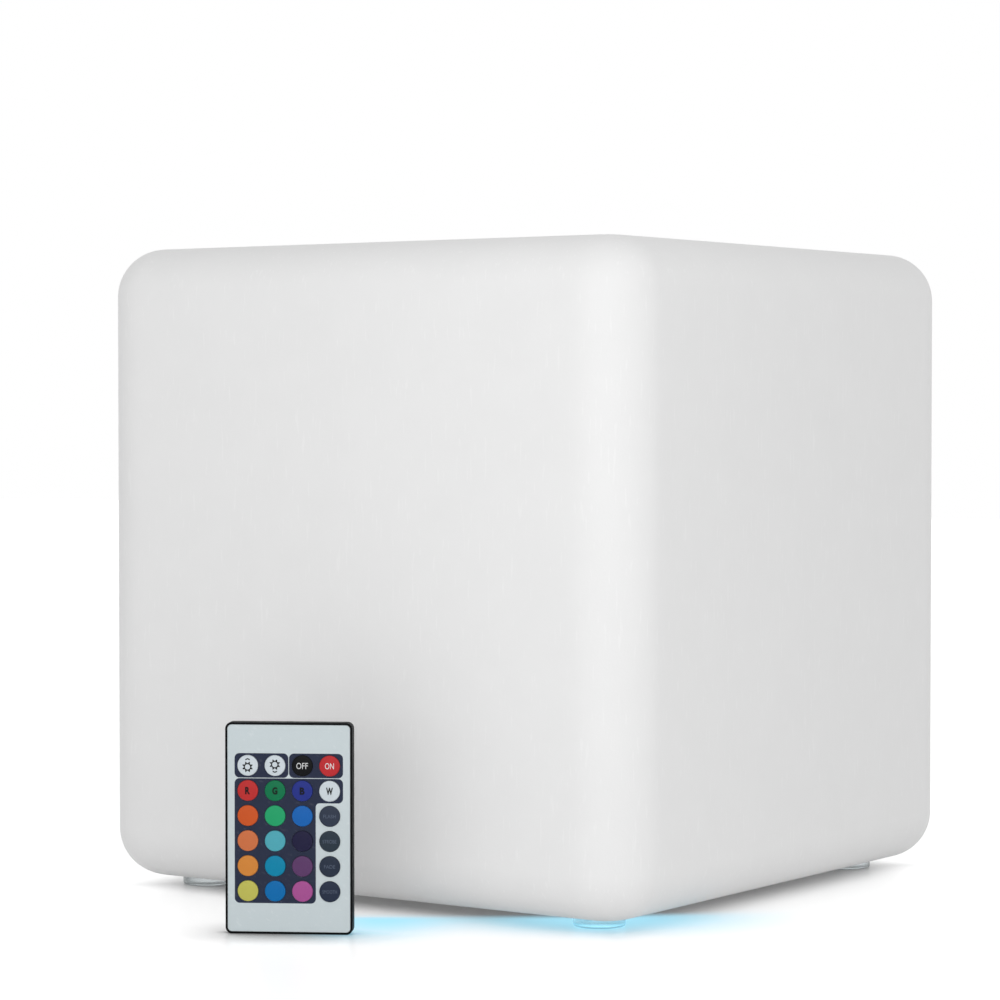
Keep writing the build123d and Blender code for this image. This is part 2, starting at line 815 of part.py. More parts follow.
with BuildPart() as handset_front:
    with BuildSketch(handset_face):
        with Locations(handset_middle):
            RectangleRounded(handset_width, handset_height, handset_corner_radius)
    extrude(amount=-handset_split_depth)
    fillet(handset_front.faces().sort_by(Axis(handset_face.origin, outward))[-1].edges(), front_edge_radius)
    with BuildSketch(handset_face):
        with Locations(handset_middle):
            RectangleRounded(inner_width, inner_height, inner_corner_radius)
    extrude(amount=deck_top, mode=Mode.SUBTRACT)
    with BuildSketch(handset_face.offset(-handset_split_depth)):
        with Locations(handset_middle):
            RectangleRounded(inner_width, inner_height, inner_corner_radius)
    extrude(amount=deck_back + handset_split_depth, mode=Mode.SUBTRACT)
    with BuildSketch(handset_face.offset(deck_back)):
        with Locations(*key_centres.values()):
            Circle(key_radius + key_gap)
    extrude(amount=deck_thickness, mode=Mode.SUBTRACT)
    with BuildSketch(handset_face.offset(-handset_split_depth)):
        with Locations(*case_screw_points):
            Circle(case_boss_radius)
    extrude(amount=deck_back + handset_split_depth)
    with BuildSketch(handset_face.offset(-handset_split_depth)):
        with Locations(*case_screw_points):
            Circle(case_screw_radius + thread_clearance)
    extrude(amount=deck_back + handset_split_depth - thread_clearance, mode=Mode.SUBTRACT)
save(handset_front, "handset_front")

cover_neck_inner_radius = coin_radius + coin_gap
cover_neck_radius = cover_neck_inner_radius + cover_neck_wall
cover_hole_radius = cover_neck_radius + cover_neck_gap
cover_plate_inside = back_outer + cover_plate_thickness
cover_lug_bottom = back_inner + cover_lug_gap
cover_lug_top = cover_lug_bottom + cover_lug_thickness
lug_radius = cover_neck_radius + cover_lug_reach
notch_width = cover_lug_width + 2 * cover_notch_gap
emitter_depth = handset_board_back - emitter_drop


def upright_plane(depth, level):
    """A level plane whose origin is `depth` behind the handset's front rim."""
    origin = handset_face.from_local_coords((0, level, depth))
    return Plane(origin=origin, x_dir=handset_face.x_dir, z_dir=(0, 0, 1))


with BuildPart() as handset_back:
    with BuildSketch(handset_face.offset(-handset_split_depth)):
        with Locations(handset_middle):
            RectangleRounded(handset_width, handset_height, handset_corner_radius)
    extrude(amount=back_outer + handset_split_depth)
    fillet(handset_back.faces().sort_by(Axis(handset_face.origin, outward))[0].edges(), back_edge_radius)
    with BuildSketch(handset_face.offset(back_inner)):
        with Locations(handset_middle):
            RectangleRounded(inner_width, inner_height, inner_corner_radius)
    extrude(amount=-handset_split_depth - back_inner, mode=Mode.SUBTRACT)
    with BuildSketch(handset_face.offset(back_inner)):
        with Locations(handset_middle):
            with GridLocations(board_rest_span_x, board_rest_pitch, 2, board_rest_rows):
                Circle(board_rest_radius)
    extrude(amount=handset_board_back - back_inner)
    with BuildSketch(handset_face.offset(back_inner)):
        with Locations(*case_screw_points):
            Circle(case_boss_radius)
    extrude(amount=-handset_split_depth - back_inner)
    with BuildSketch(handset_face.offset(back_outer)):
        with Locations(*case_screw_points):
            Circle(case_screw_radius + screw_hole_clearance)
    extrude(amount=handset_depth - handset_split_depth, mode=Mode.SUBTRACT)
    with BuildSketch(handset_face.offset(back_outer)):
        with Locations(*case_screw_points):
            Circle(case_screw_head_radius + screw_hole_clearance)
    extrude(amount=case_screw_sink, mode=Mode.SUBTRACT)
    with BuildSketch(handset_face.offset(back_outer)):
        with Locations((0, cell_level)):
            Circle(cover_plate_radius + cover_plate_gap)
    extrude(amount=cover_plate_thickness, mode=Mode.SUBTRACT)
    with BuildSketch(handset_face.offset(cover_plate_inside)):
        with Locations((0, cell_level)):
            Circle(cover_hole_radius)
            with PolarLocations(0, cover_lug_count, start_angle=-cover_turn):
                Rectangle(lug_radius + cover_notch_gap, notch_width, align=(Align.MIN, Align.CENTER))
    extrude(amount=back_inner - cover_plate_inside, mode=Mode.SUBTRACT)
    with BuildSketch(upright_plane(emitter_depth, inner_height)):
        Circle(emitter_radius + emitter_gap)
    extrude(amount=handset_height - inner_height, mode=Mode.SUBTRACT)
save(handset_back, "handset_back")

with BuildPart() as keypad_overlay:
    with BuildSketch(handset_face.offset(deck_top)):
        with Locations(handset_middle):
            RectangleRounded(
                inner_width - 2 * overlay_gap, inner_height - 2 * overlay_gap, inner_corner_radius
            )
        with Locations(*key_centres.values()):
            Circle(key_radius + key_gap, mode=Mode.SUBTRACT)
    extrude(amount=overlay_thickness)
save(keypad_overlay, "keypad_overlay")

# One domed cap for each key, turned about its own axis
for name, (key_x, key_y) in key_centres.items():
    key_axis_foot = handset_face.from_local_coords((key_x, key_y, 0))
    with BuildPart() as key_cap:
        with BuildSketch(Plane(origin=key_axis_foot, x_dir=handset_face.x_dir, z_dir=(0, 0, -1))):
            with BuildLine():
                Polyline(
                    (0, key_shoulder + key_dome_rise),
                    (0, key_back),
                    (key_radius + key_flange_width, key_back),
                    (key_radius + key_flange_width, key_flange_front),
                    (key_radius, key_flange_front),
                    (key_radius, key_shoulder),
                )
                dome_arc_radius = (key_radius**2 + key_dome_rise**2) / (2 * key_dome_rise)
                RadiusArc((key_radius, key_shoulder), (0, key_shoulder + key_dome_rise), -dome_arc_radius)
            make_face()
        revolve(axis=Axis(key_axis_foot, outward))
        cap_rim = (
            key_cap.edges()
            .filter_by(GeomType.CIRCLE)
            .filter_by(lambda edge: abs(edge.radius - key_radius) < key_gap)
            .sort_by(Axis(key_axis_foot, outward))[-1]
        )
        fillet(cap_rim, key_edge_radius)
    save(key_cap, f"key_{name}")

with BuildPart() as contact_mat:
    with BuildSketch(handset_face.offset(mat_front)):
        with Locations(handset_middle):
            Rectangle(mat_width, board_height)
    extrude(amount=-mat_thickness)
    with BuildSketch(handset_face.offset(mat_front)):
        with Locations(*key_centres.values()):
            Circle(mat_dome_radius)
    extrude(amount=mat_dome_height, taper=mat_dome_taper)
save(contact_mat, "contact_mat")

with BuildPart() as handset_board:
    with BuildSketch(handset_face.offset(handset_board_front)):
        with Locations(handset_middle):
            Rectangle(mat_width, board_height)
    extrude(amount=-handset_board_thickness)
save(handset_board, "handset_board")

# The emitter stands in the top edge, its leads soldered to the back of the board
emitter_tip = handset_height - emitter_gap
emitter_foot = emitter_tip - emitter_body_length
emitter_lead_end = mat_margin + board_height - emitter_lead_overlap

with BuildPart() as ir_emitter:
    with BuildSketch(upright_plane(emitter_depth, emitter_foot)):
        Circle(emitter_radius)
    extrude(amount=emitter_body_length)
    fillet(ir_emitter.faces().sort_by(Axis.Z)[-1].edges(), emitter_radius - emitter_gap)
    with BuildSketch(upright_plane(emitter_depth, emitter_lead_end)):
        with GridLocations(emitter_lead_pitch, emitter_lead_pitch, 2, 1):
            Circle(emitter_lead_radius)
    extrude(amount=emitter_foot - emitter_lead_end)
save(ir_emitter, "ir_emitter")

with BuildPart() as battery_cover:
    with BuildSketch(handset_face.offset(back_outer)):
        with Locations((0, cell_level)):
            Circle(cover_plate_radius)
    extrude(amount=cover_plate_thickness)
    with BuildSketch(handset_face.offset(cover_plate_inside)):
        with Locations((0, cell_level)):
            Circle(cover_neck_radius)
    extrude(amount=cover_lug_top - cover_plate_inside)
    with BuildSketch(handset_face.offset(cover_lug_bottom)):
        with Locations((0, cell_level)):
            with PolarLocations(0, cover_lug_count):
                Rectangle(lug_radius, cover_lug_width, align=(Align.MIN, Align.CENTER))
    extrude(amount=cover_lug_thickness)
    with BuildSketch(handset_face.offset(cover_plate_inside)):
        with Locations((0, cell_level)):
            Circle(cover_neck_inner_radius)
    extrude(amount=cover_lug_top - cover_plate_inside, mode=Mode.SUBTRACT)
    with BuildSketch(handset_face.offset(back_outer)):
        with Locations((0, cell_level)):
            SlotOverall(coin_slot_length, coin_slot_width)
    extrude(amount=coin_slot_depth, mode=Mode.SUBTRACT)
save(battery_cover, "battery_cover")

coin_outer = cover_plate_inside + coin_rest_gap
coin_inner = coin_outer + coin_thickness

with BuildPart() as coin_cell:
    with BuildSketch(handset_face.offset(coin_outer)):
        with Locations((0, cell_level)):
            Circle(coin_radius)
    extrude(amount=coin_thickness)
    fillet(coin_cell.edges(), coin_edge_radius)
save(coin_cell, "coin_cell")

# Two bent leaves on the back of the board press on the cell's middle and on its rim
with BuildPart() as cell_contacts:
    for leaf_y in (cell_level, cell_level + contact_pitch):
        leaf_origin = handset_face.from_local_coords((0, leaf_y - contact_width / 2, 0))
        leaf_top = handset_board_back
        leaf_tip = coin_inner + coin_rest_gap
        with BuildSketch(Plane(origin=leaf_origin, x_dir=handset_face.x_dir, z_dir=(0, 0, -1))):
            with BuildLine():
                Polyline(
                    (contact_reach + contact_foot_length, leaf_top),
                    (contact_reach, leaf_top),
                    (0, leaf_tip + contact_thickness),
                    (-contact_foot_length, leaf_tip + contact_thickness),
                    (-contact_foot_length, leaf_tip),
                    (contact_thickness, leaf_tip),
                    (contact_reach + contact_thickness, leaf_top - contact_thickness),
                    (contact_reach + contact_foot_length, leaf_top - contact_thickness),
                    close=True,
                )
            make_face()
        extrude(amount=-contact_width)
save(cell_contacts, "cell_contacts")

case_screw_seat = back_outer + case_screw_sink

with BuildPart() as case_screws:
    with BuildSketch(handset_face.offset(case_screw_seat)):
        with Locations(*case_screw_points):
            Circle(case_screw_head_radius)
    extrude(amount=-case_screw_head_height)
    with BuildSketch(handset_face.offset(case_screw_seat)):
        with Locations(*case_screw_points):
            Circle(case_screw_radius)
    extrude(amount=case_screw_length)
save(case_screws, "case_screws")
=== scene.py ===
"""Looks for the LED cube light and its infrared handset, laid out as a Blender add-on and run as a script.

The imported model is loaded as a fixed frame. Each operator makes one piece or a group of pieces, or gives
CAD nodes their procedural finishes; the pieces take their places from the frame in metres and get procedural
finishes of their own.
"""

import json
import math

import bmesh
import bpy
from bpy.props import FloatProperty, FloatVectorProperty, IntProperty, PointerProperty
from mathutils import Matrix, Vector


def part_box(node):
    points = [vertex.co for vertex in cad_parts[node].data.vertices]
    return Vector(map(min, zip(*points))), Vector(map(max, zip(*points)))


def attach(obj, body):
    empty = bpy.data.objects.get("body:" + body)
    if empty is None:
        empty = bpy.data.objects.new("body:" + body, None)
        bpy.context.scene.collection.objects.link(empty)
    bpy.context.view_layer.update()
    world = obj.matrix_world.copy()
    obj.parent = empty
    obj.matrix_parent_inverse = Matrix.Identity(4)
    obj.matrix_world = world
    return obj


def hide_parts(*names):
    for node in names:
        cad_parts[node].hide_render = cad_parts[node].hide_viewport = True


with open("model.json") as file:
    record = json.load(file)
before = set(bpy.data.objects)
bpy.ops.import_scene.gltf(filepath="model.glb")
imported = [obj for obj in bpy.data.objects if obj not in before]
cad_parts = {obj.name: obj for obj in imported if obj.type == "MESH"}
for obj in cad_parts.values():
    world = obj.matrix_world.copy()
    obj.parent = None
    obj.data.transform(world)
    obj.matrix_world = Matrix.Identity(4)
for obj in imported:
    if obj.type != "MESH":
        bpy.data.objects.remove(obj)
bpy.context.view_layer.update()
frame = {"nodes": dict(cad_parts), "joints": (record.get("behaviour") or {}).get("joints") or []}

bl_info = {
    "name": "Cube light looks",
    "version": (1, 0, 0),
    "blender": (4, 5, 0),
    "location": "3D View > Sidebar > Cube light",
    "description": "Shell, feet, lamp unit, handset, floor and studio light of an LED cube light",
    "category": "Object",
}

FULL_TURN = 2 * math.pi
QUARTER_TURN = FULL_TURN / 4
WELD = 1e-6
CREASE_ANGLE = math.radians(32)
ACRYLIC_IOR = 1.49
METRE = 1000
HIGHEST_AMOUNT = 10
FEWEST_STEPS = 12
INWARDS = -1

# The curve between display tones and scene-linear light
WHITE_TONE = 255
TOE_END = 0.04045
TOE_SLOPE = 12.92
CURVE_LIFT = 0.055
CURVE_POWER = 2.4

# Counts that the shapes are made with, and the pitch of the cuts that let a legend bend
SHELL_EDGE_STEPS = 24
MOUTH_STEPS = 6
FACE_CUTS = 17
CUBE_SIDES = 6
SQUARE_CORNERS = 4
INSERT_COUNT = 8
TURNED_EDGE_STEPS = 5
SHEET_CORNER_STEPS = 8
DOME_STEPS = 8
LETTER_CURVE_STEPS = 4
CUTS_EACH_WAY = 5
CUT_PITCH = 0.0015
FLOOR_CELLS = 4

# The camera's sensor in millimetres, and the nearest and farthest that it sees in metres
SENSOR_WIDTH = 36
CLEAR_VIEW = (0.05, 60)

KEY_ROWS = (
    ("brighter", "dimmer", "off", "on"),
    ("red", "green", "blue", "white"),
    ("vermilion", "mint", "azure", "flash"),
    ("orange", "cyan", "indigo", "strobe"),
    ("amber", "teal", "purple", "fade"),
    ("yellow", "sky", "pink", "smooth"),
)
KEY_NAMES = [name for row in KEY_ROWS for name in row]
COLOUR_KEYS = ["white"] + [name for row in KEY_ROWS[1:] for name in row[:3]]


# --- Units and property helpers ---


def display_colour(*tones):
    """Scene-linear colour of a display colour written from 0 to 255."""
    shares = [tone / WHITE_TONE for tone in tones]
    return tuple(
        share / TOE_SLOPE if share <= TOE_END else ((share + CURVE_LIFT) / (1 + CURVE_LIFT)) ** CURVE_POWER
        for share in shares
    )


def length(name, description, millimetres):
    """A length property, written in millimetres and kept in metres."""
    default = millimetres / METRE
    return FloatProperty(name=name, description=description, default=default, min=0, unit="LENGTH")


def tint(name, description, red, green, blue):
    """A colour property, written as a display colour from 0 to 255."""
    default = display_colour(red, green, blue)
    return FloatVectorProperty(
        name=name, description=description, default=default, size=3, min=0, max=1, subtype="COLOR"
    )


def place_and_reach(name, description, x, y, reach_x, reach_y):
    """Middle and reach of a soft pool on the floor, written in millimetres and kept in metres."""
    default = [size / METRE for size in (x, y, reach_x, reach_y)]
    return FloatVectorProperty(name=name, description=description, default=default, size=4, unit="LENGTH")


def room_place(name, description, x, y, z):
    """A place in the room, in metres."""
    return FloatVectorProperty(
        name=name, description=description, default=(x, y, z), size=3, subtype="TRANSLATION", unit="LENGTH"
    )


def angle(name, description, degrees):
    """An angle property, written in degrees and kept in radians."""
    default = math.radians(degrees)
    return FloatProperty(name=name, description=description, default=default, subtype="ANGLE")


def amount(name, description, default):
    """A plain number property."""
    return FloatProperty(name=name, description=description, default=default, min=0, max=HIGHEST_AMOUNT)


def steps_round(name, description, default):
    """A count of the steps in a full turn."""
    return IntProperty(name=name, description=description, default=default, min=FEWEST_STEPS)


# --- Settings a user would change ---


class ShellSettings(bpy.types.PropertyGroup):
    """Sizes and colours of the moulded cube."""

    upright_radius: length("Upright edge radius", "Rounding of the four upright edges", 56)
    rim_radius: length("Rim radius", "Rounding round the top and the underside", 45)
    wall: length("Wall", "Thickness of the moulded wall", 4)
    face_hollow: length("Face hollow", "How far the middle of a moulded face draws in", 0.8)
    face_border: length("Face border", "Flat border round each face, beside its rounded edges", 4)
    mouth_radius: length("Recess mouth radius", "Rounding where the underside turns into the recess", 3)
    recess_gap: length("Recess gap", "Room between the lamp unit's flange and the side of the recess", 3)
    opening_gap: length("Opening gap", "Room between the lamp unit's tub and the hole it goes through", 2)
    boss_radius: length("Boss radius", "Outside of the bosses that hold the threaded inserts", 8)
    boss_height: length("Boss height", "Height of those bosses above the recess", 14)
    colour: tint("Shell colour", "Satin white of the moulding", 233, 233, 233)
    scuff_colour: tint("Scuff colour", "Faint upright scuffs left by the mould", 236, 236, 236)


class LampSettings(bpy.types.PropertyGroup):
    """Light of the lamps behind the dome."""

    glow: tint("Glow colour", "Light of the lit lamps", 70, 190, 235)
    strength: amount("Lamp strength", "Strength of the lit lamps", 1.2)


class FootSettings(bpy.types.PropertyGroup):
    """Sizes and colour of the four clear foot pads."""

    radius: length("Pad radius", "Outside of a foot pad", 23)
    edge_radius: length("Pad edge radius", "Rounding of the pad's lower edge", 2)
    stem_radius: length("Stem radius", "Stem that goes through the shell", 5)
    stem_gap: length("Stem gap", "Room round the stem in the shell", 0.3)
    barb_radius: length("Barb radius", "Barb that holds the pad in the shell", 6.6)
    barb_height: length("Barb height", "Height of the barb above the shell's wall", 4)
    colour: tint("Pad colour", "Slightly frosted clear plastic", 236, 243, 245)
    carried_light: tint("Carried light", "Lamp light that the near pad carries", 10, 82, 99)


class HandsetSettings(bpy.types.PropertyGroup):
    """Sizes and colours of the handset's front."""

    film_corner_radius: length("Film corner radius", "Corners of the printed film", 3.6)
    panel_reach_across: length("Panel reach across", "From a key's middle to the side of its panel", 11.5)
    panel_reach_up: length("Panel reach up", "From a key's middle to the panel's top or bottom", 10.5)
    panel_corner_radius: length("Panel corner radius", "Outer corners of the printed panels", 4.3)
    panel_notch_radius: length("Panel notch radius", "Inner corner of the stepped panel", 3.4)
    ink_thickness: length("Ink thickness", "Thickness of a printed panel or legend", 0.04)
    case_colour: tint("Case colour", "Black moulded case", 9, 10, 12)
    film_colour: tint("Film colour", "Pale printed film", 196, 206, 209)
    panel_colour: tint("Panel colour", "Navy printed panels", 36, 43, 64)


class KeySettings(bpy.types.PropertyGroup):
    """Sizes of a key cap, and the ink of the legends."""

    radius: length("Cap radius", "Outside of a key cap", 8.85)
    hole_gap: length("Hole gap", "Room round a cap in the film", 0.3)
    dome_rise: length("Dome rise", "How far a cap's middle stands above its edge", 0.7)
    edge_radius: length("Cap edge radius", "Rounding of a cap's edge", 0.3)
    flange_width: length("Flange width", "How far the flange behind the deck stands out", 1.1)
    flange_thickness: length("Flange thickness", "Thickness of that flange", 1)
    dark_ink: tint("Dark ink", "Legends on the pale and primary keys", 10, 11, 15)
    light_ink: tint("Light ink", "Legends on the black and red keys", 216, 217, 217)
    faint_ink: tint("Faint ink", "Legends on the navy keys", 84, 94, 112)


class KeyColours(bpy.types.PropertyGroup):
    """Colour of each key cap."""

    brighter: tint("Brighter", "Cap that turns the light up", 200, 209, 215)
    dimmer: tint("Dimmer", "Cap that turns the light down", 200, 209, 215)
    off: tint("Off", "Cap that turns the light off", 8, 9, 11)
    on: tint("On", "Cap that turns the light on", 182, 46, 50)
    red: tint("Red", "Cap for plain red", 182, 48, 48)
    green: tint("Green", "Cap for plain green", 16, 112, 72)
    blue: tint("Blue", "Cap for plain blue", 38, 50, 130)
    white: tint("White", "Cap for white light", 200, 209, 215)
    vermilion: tint("Vermilion", "Colour cap of the third row", 196, 84, 38)
    mint: tint("Mint", "Colour cap of the third row", 36, 156, 102)
    azure: tint("Azure", "Colour cap of the third row", 26, 96, 172)
    flash: tint("Flash", "Mode cap", 48, 56, 72)
    orange: tint("Orange", "Colour cap of the fourth row", 198, 110, 68)
    cyan: tint("Cyan", "Colour cap of the fourth row", 78, 162, 176)
    indigo: tint("Indigo", "Colour cap of the fourth row", 30, 28, 58)
    strobe: tint("Strobe", "Mode cap", 42, 53, 64)
    amber: tint("Amber", "Colour cap of the fifth row", 204, 130, 58)
    teal: tint("Teal", "Colour cap of the fifth row", 12, 128, 164)
    purple: tint("Purple", "Colour cap of the fifth row", 90, 58, 100)
    fade: tint("Fade", "Mode cap", 40, 49, 65)
    yellow: tint("Yellow", "Colour cap of the sixth row", 186, 182, 88)
    sky: tint("Sky", "Colour cap of the sixth row", 12, 104, 168)
    pink: tint("Pink", "Colour cap of the sixth row", 162, 80, 142)
    smooth: tint("Smooth", "Mode cap", 38, 47, 66)


class StageSettings(bpy.types.PropertyGroup):
    """Floor, studio light and camera."""

    floor_half: length("Floor half width", "From the middle of the floor to its edge", 9000)
    floor_colour: tint("Floor colour", "Glossy white floor", 250, 250, 250)
    floor_lift: amount("Floor lift", "Light added to the floor where it is seen", 0.35)
    floor_shade: length("Floor shade", "Depth under the cube over which that light fades away", 70)
    cube_margin: length("Cube margin", "Width over which the contact shade sets in beside the cube", 30)
    contact_reach: length("Contact reach", "How far from a thing that stands on it the floor darkens", 60)
    contact_depth: amount("Contact depth", "How fast the floor darkens towards that thing", 2)
    glow_floor: tint("Glow on floor", "Lamp light on the floor by the near corner", 165, 228, 250)
    near_pool: place_and_reach("Near pool", "Middle and reach of the glow by the near foot", 2, 34, 214, 125)
    side_pool: place_and_reach("Side pool", "Middle and reach of the glow beside it", -197, 34, 102, 165)
    glow_back: length("Glow back edge", "How far behind the near foot's middle the glow starts", 64)
    glow_back_fade: length("Glow back fade", "Depth over which that edge fades", 34)
    glow_back_slant: amount("Glow back slant", "Slope of that edge to the right", 0.2)
    room_light: amount("Room light", "Strength of the light from the sides of the room", 1.0)
    room_lean: amount("Room lean", "Share by which the room is brighter on the cube's right", 0.09)
    ceiling_share: amount("Ceiling share", "Light from straight above, against the room's sides", 0.5)
    front_power: FloatProperty(
        name="Front power", description="Large lamp behind the camera", default=7.4, unit="POWER"
    )
    front_place: room_place("Front lamp place", "Middle of the large lamp", 0.86, -1.45, 0.8)
    lamp_size: length("Lamp size", "Side of the square lamp", 1400)
    camera_place: room_place(
        "Camera place", "Where the photograph was taken from", 1.78665, -2.62007, 0.45579
    )
    camera_turn: angle("Camera turn", "Turn to the left", 34.859)
    camera_dip: angle("Camera dip", "How far it looks down", 1.69)
    camera_lens: FloatProperty(
        name="Camera lens", description="Focal length on a 36 mm sensor", default=118.546, unit="CAMERA"
    )


class CubeLightSettings(bpy.types.PropertyGroup):
    """All settings of the cube light."""

    shell: PointerProperty(type=ShellSettings, name="Shell", description="The moulded cube")
    lamp: PointerProperty(type=LampSettings, name="Lamp", description="The lamps behind the dome")
    feet: PointerProperty(type=FootSettings, name="Feet", description="The foot pads")
    handset: PointerProperty(type=HandsetSettings, name="Handset", description="The handset's front")
    keys: PointerProperty(type=KeySettings, name="Keys", description="The key caps")
    key_colours: PointerProperty(type=KeyColours, name="Key colours", description="Colour of each cap")
    stage: PointerProperty(type=StageSettings, name="Stage", description="Floor, light and camera")
    round_steps: steps_round("Round steps", "Steps round a large round piece", 72)
    boss_steps: steps_round("Boss steps", "Steps round a boss", 36)
    hole_steps: steps_round("Hole steps", "Steps round a small hole", 24)


# --- Places read from the frame ---


def reach(node, direction):
    """Lowest and highest place of a CAD node along a direction."""
    places = [vertex.co.dot(direction) for vertex in frame["nodes"][node].data.vertices]
    return min(places), max(places)


def middle(node, direction):
    """Middle of a CAD node along a direction."""
    return sum(reach(node, direction)) / 2


press_axis = next(joint["axis"] for joint in frame["joints"] if joint["name"] == "key_on_press")
outward = -Vector(press_axis).normalized()
upward = Vector((0, 0, 1))
across = upward.cross(outward)
handset_middle = middle("handset_front", across)
handset_foot = reach("handset_front", upward)[0]
handset_rim = reach("handset_front", outward)[1]
handset_place = Matrix((across, upward, outward)).transposed().to_4x4()
handset_place.translation = across * handset_middle + upward * handset_foot + outward * handset_rim
key_centres = {
    name: Vector(
        (middle(f"key_{name}", across) - handset_middle, middle(f"key_{name}", upward) - handset_foot, 0)
    )
    for name in KEY_NAMES
}
cap_back, cap_top = (place - handset_rim for place in reach("key_on", outward))
film_back, film_front = (place - handset_rim for place in reach("keypad_overlay", outward))


# --- Mesh helpers ---


def only(kind, parts):
    """The parts of one kind in what an operator gives back."""
    return [part for part in parts if isinstance(part, kind)]


def round_edges(mesh, edges, radius, steps):
    """Rounds edges with an arc."""
    bmesh.ops.bevel(
        mesh,
        geom=edges,
        offset=radius,
        offset_type="OFFSET",
        segments=steps,
        profile=0.5,
        affect="EDGES",
        material=-1,
    )


def round_corner(mesh, corners, radius, steps):
    """Rounds the corners of an outline or a profile with an arc."""
    bmesh.ops.bevel(
        mesh,
        geom=corners,
        offset=radius,
        offset_type="OFFSET",
        segments=steps,
        profile=0.5,
        affect="VERTICES",
        material=-1,
    )


def turned(profile, steps, rounded=None):
    """Solid turned about Z from (radius, height) points; rounded maps a point's index to its edge radius."""
    mesh = bmesh.new()
    chain = [mesh.verts.new((radius, 0, height)) for radius, height in profile]
    for start, end in zip(chain, chain[1:]):
        mesh.edges.new((start, end))
    for index, radius in (rounded or {}).items():
        round_corner(mesh, [chain[index]], radius, TURNED_EDGE_STEPS)
    bmesh.ops.spin(
        mesh,
        geom=mesh.verts[:] + mesh.edges[:],
        axis=(0, 0, 1),
        cent=(0, 0, 0),
        steps=steps,
        angle=FULL_TURN,
        use_merge=True,
    )
    bmesh.ops.remove_doubles(mesh, verts=mesh.verts, dist=WELD)
    bmesh.ops.recalc_face_normals(mesh, faces=mesh.faces)
    return mesh


def punched_sheet(corners, corner_radius, holes, hole_radius, low, high, steps, notch=None, notch_radius=0):
    """Flat sheet on the handset's front, with a rounded outline and round holes, between two heights.

    notch is the index of an inner corner with its own radius.
    """
    mesh = bmesh.new()
    outline = [mesh.verts.new((x, y, low)) for x, y in corners]
    mesh.faces.new(outline)
    inner = [] if notch is None else [outline[notch]]
    outer = [corner for corner in outline if corner not in inner]
    round_corner(mesh, outer, corner_radius, SHEET_CORNER_STEPS)
    if inner:
        round_corner(mesh, inner, notch_radius, SHEET_CORNER_STEPS)
    bmesh.ops.delete(mesh, geom=mesh.faces[:], context="FACES_ONLY")
    for hole in holes:
        add_circle(mesh, hole_radius, (hole.x, hole.y, low), steps)
    fill_between(mesh, mesh.edges[:])
    thicken(mesh, Vector((0, 0, high - low)))
    bmesh.ops.transform(mesh, matrix=handset_place, verts=mesh.verts)
    return mesh


def add_circle(mesh, radius, centre, steps):
    """Ring of edges round a centre."""
    place = Matrix.Translation(centre)
    made = bmesh.ops.create_circle(mesh, cap_ends=False, radius=radius, segments=steps, matrix=place)
    return list(dict.fromkeys(edge for vertex in made["verts"] for edge in vertex.link_edges))


def fill_between(mesh, edges):
    """Fills the area between an outline and the holes in it."""
    bmesh.ops.triangle_fill(mesh, edges=edges, use_beauty=True, use_dissolve=False)


def thicken(mesh, offset):
    """Gives a flat sheet its thickness along an offset."""
    lifted = bmesh.ops.extrude_face_region(mesh, geom=mesh.faces[:], use_keep_orig=True)["geom"]
    bmesh.ops.translate(mesh, vec=offset, verts=only(bmesh.types.BMVert, lifted))
    bmesh.ops.recalc_face_normals(mesh, faces=mesh.faces)


def mark_creases(mesh):
    """Smooth shading, with every sharp edge left crisp."""
    for face in mesh.faces:
        face.smooth = True
    for edge in mesh.edges:
        edge.smooth = edge.is_manifold and edge.calc_face_angle(0) < CREASE_ANGLE


def joined(meshes):
    """One bmesh from several."""
    whole = bmesh.new()
    for mesh in meshes:
        scratch = bpy.data.meshes.new("scratch")
        mesh.to_mesh(scratch)
        mesh.free()
        whole.from_mesh(scratch)
        bpy.data.meshes.remove(scratch)
    return whole


def moved_copy(mesh, place):
    """Copy of a bmesh, moved by a matrix."""
    copy = mesh.copy()
    bmesh.ops.transform(copy, matrix=place, verts=copy.verts)
    return copy


def repeated(mesh, spots):
    """One bmesh with a copy of another at each spot; the first one is used up."""
    whole = joined([moved_copy(mesh, Matrix.Translation((x, y, 0))) for x, y in spots])
    mesh.free()
    return whole


def finished_piece(name, mesh, body, material, replaces=()):
    """Object at the origin from a bmesh in the frame's own place, riding on a CAD body."""
    mark_creases(mesh)
    data = bpy.data.meshes.new(name)
    mesh.to_mesh(data)
    mesh.free()
    data.materials.append(material)
    piece = bpy.data.objects.new(name, data)
    bpy.context.scene.collection.objects.link(piece)
    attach(piece, body)
    if replaces:
        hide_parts(*replaces)
    return piece


def dress(node, material):
    """Gives a CAD node its material."""
    slots = frame["nodes"][node].data.materials
    slots.clear()
    slots.append(material)


# --- Node helpers ---


VECTOR, NUMBER, COLOUR = "NodeSocketVector", "NodeSocketFloat", "NodeSocketColor"
GREY = (0.5, 0.5, 0.5, 1)
BLACK = (0, 0, 0, 1)
WHITE = (1, 1, 1, 1)
PALE = (0.9, 0.9, 0.9, 1)
NOISE_MIDDLE = 0.5
MIX_SOCKETS = (0, 6, 7)
MIX_OUTPUT = 2


def node(tree, kind, inputs=None, **settings):
    """New node; inputs maps a socket's name or number to a value or to another node's output."""
    made = tree.nodes.new(kind)
    for name, value in settings.items():
        setattr(made, name, value)
    for socket, value in (inputs or {}).items():
        if isinstance(value, bpy.types.NodeSocket):
            tree.links.new(value, made.inputs[socket])
        else:
            made.inputs[socket].default_value = value
    return made


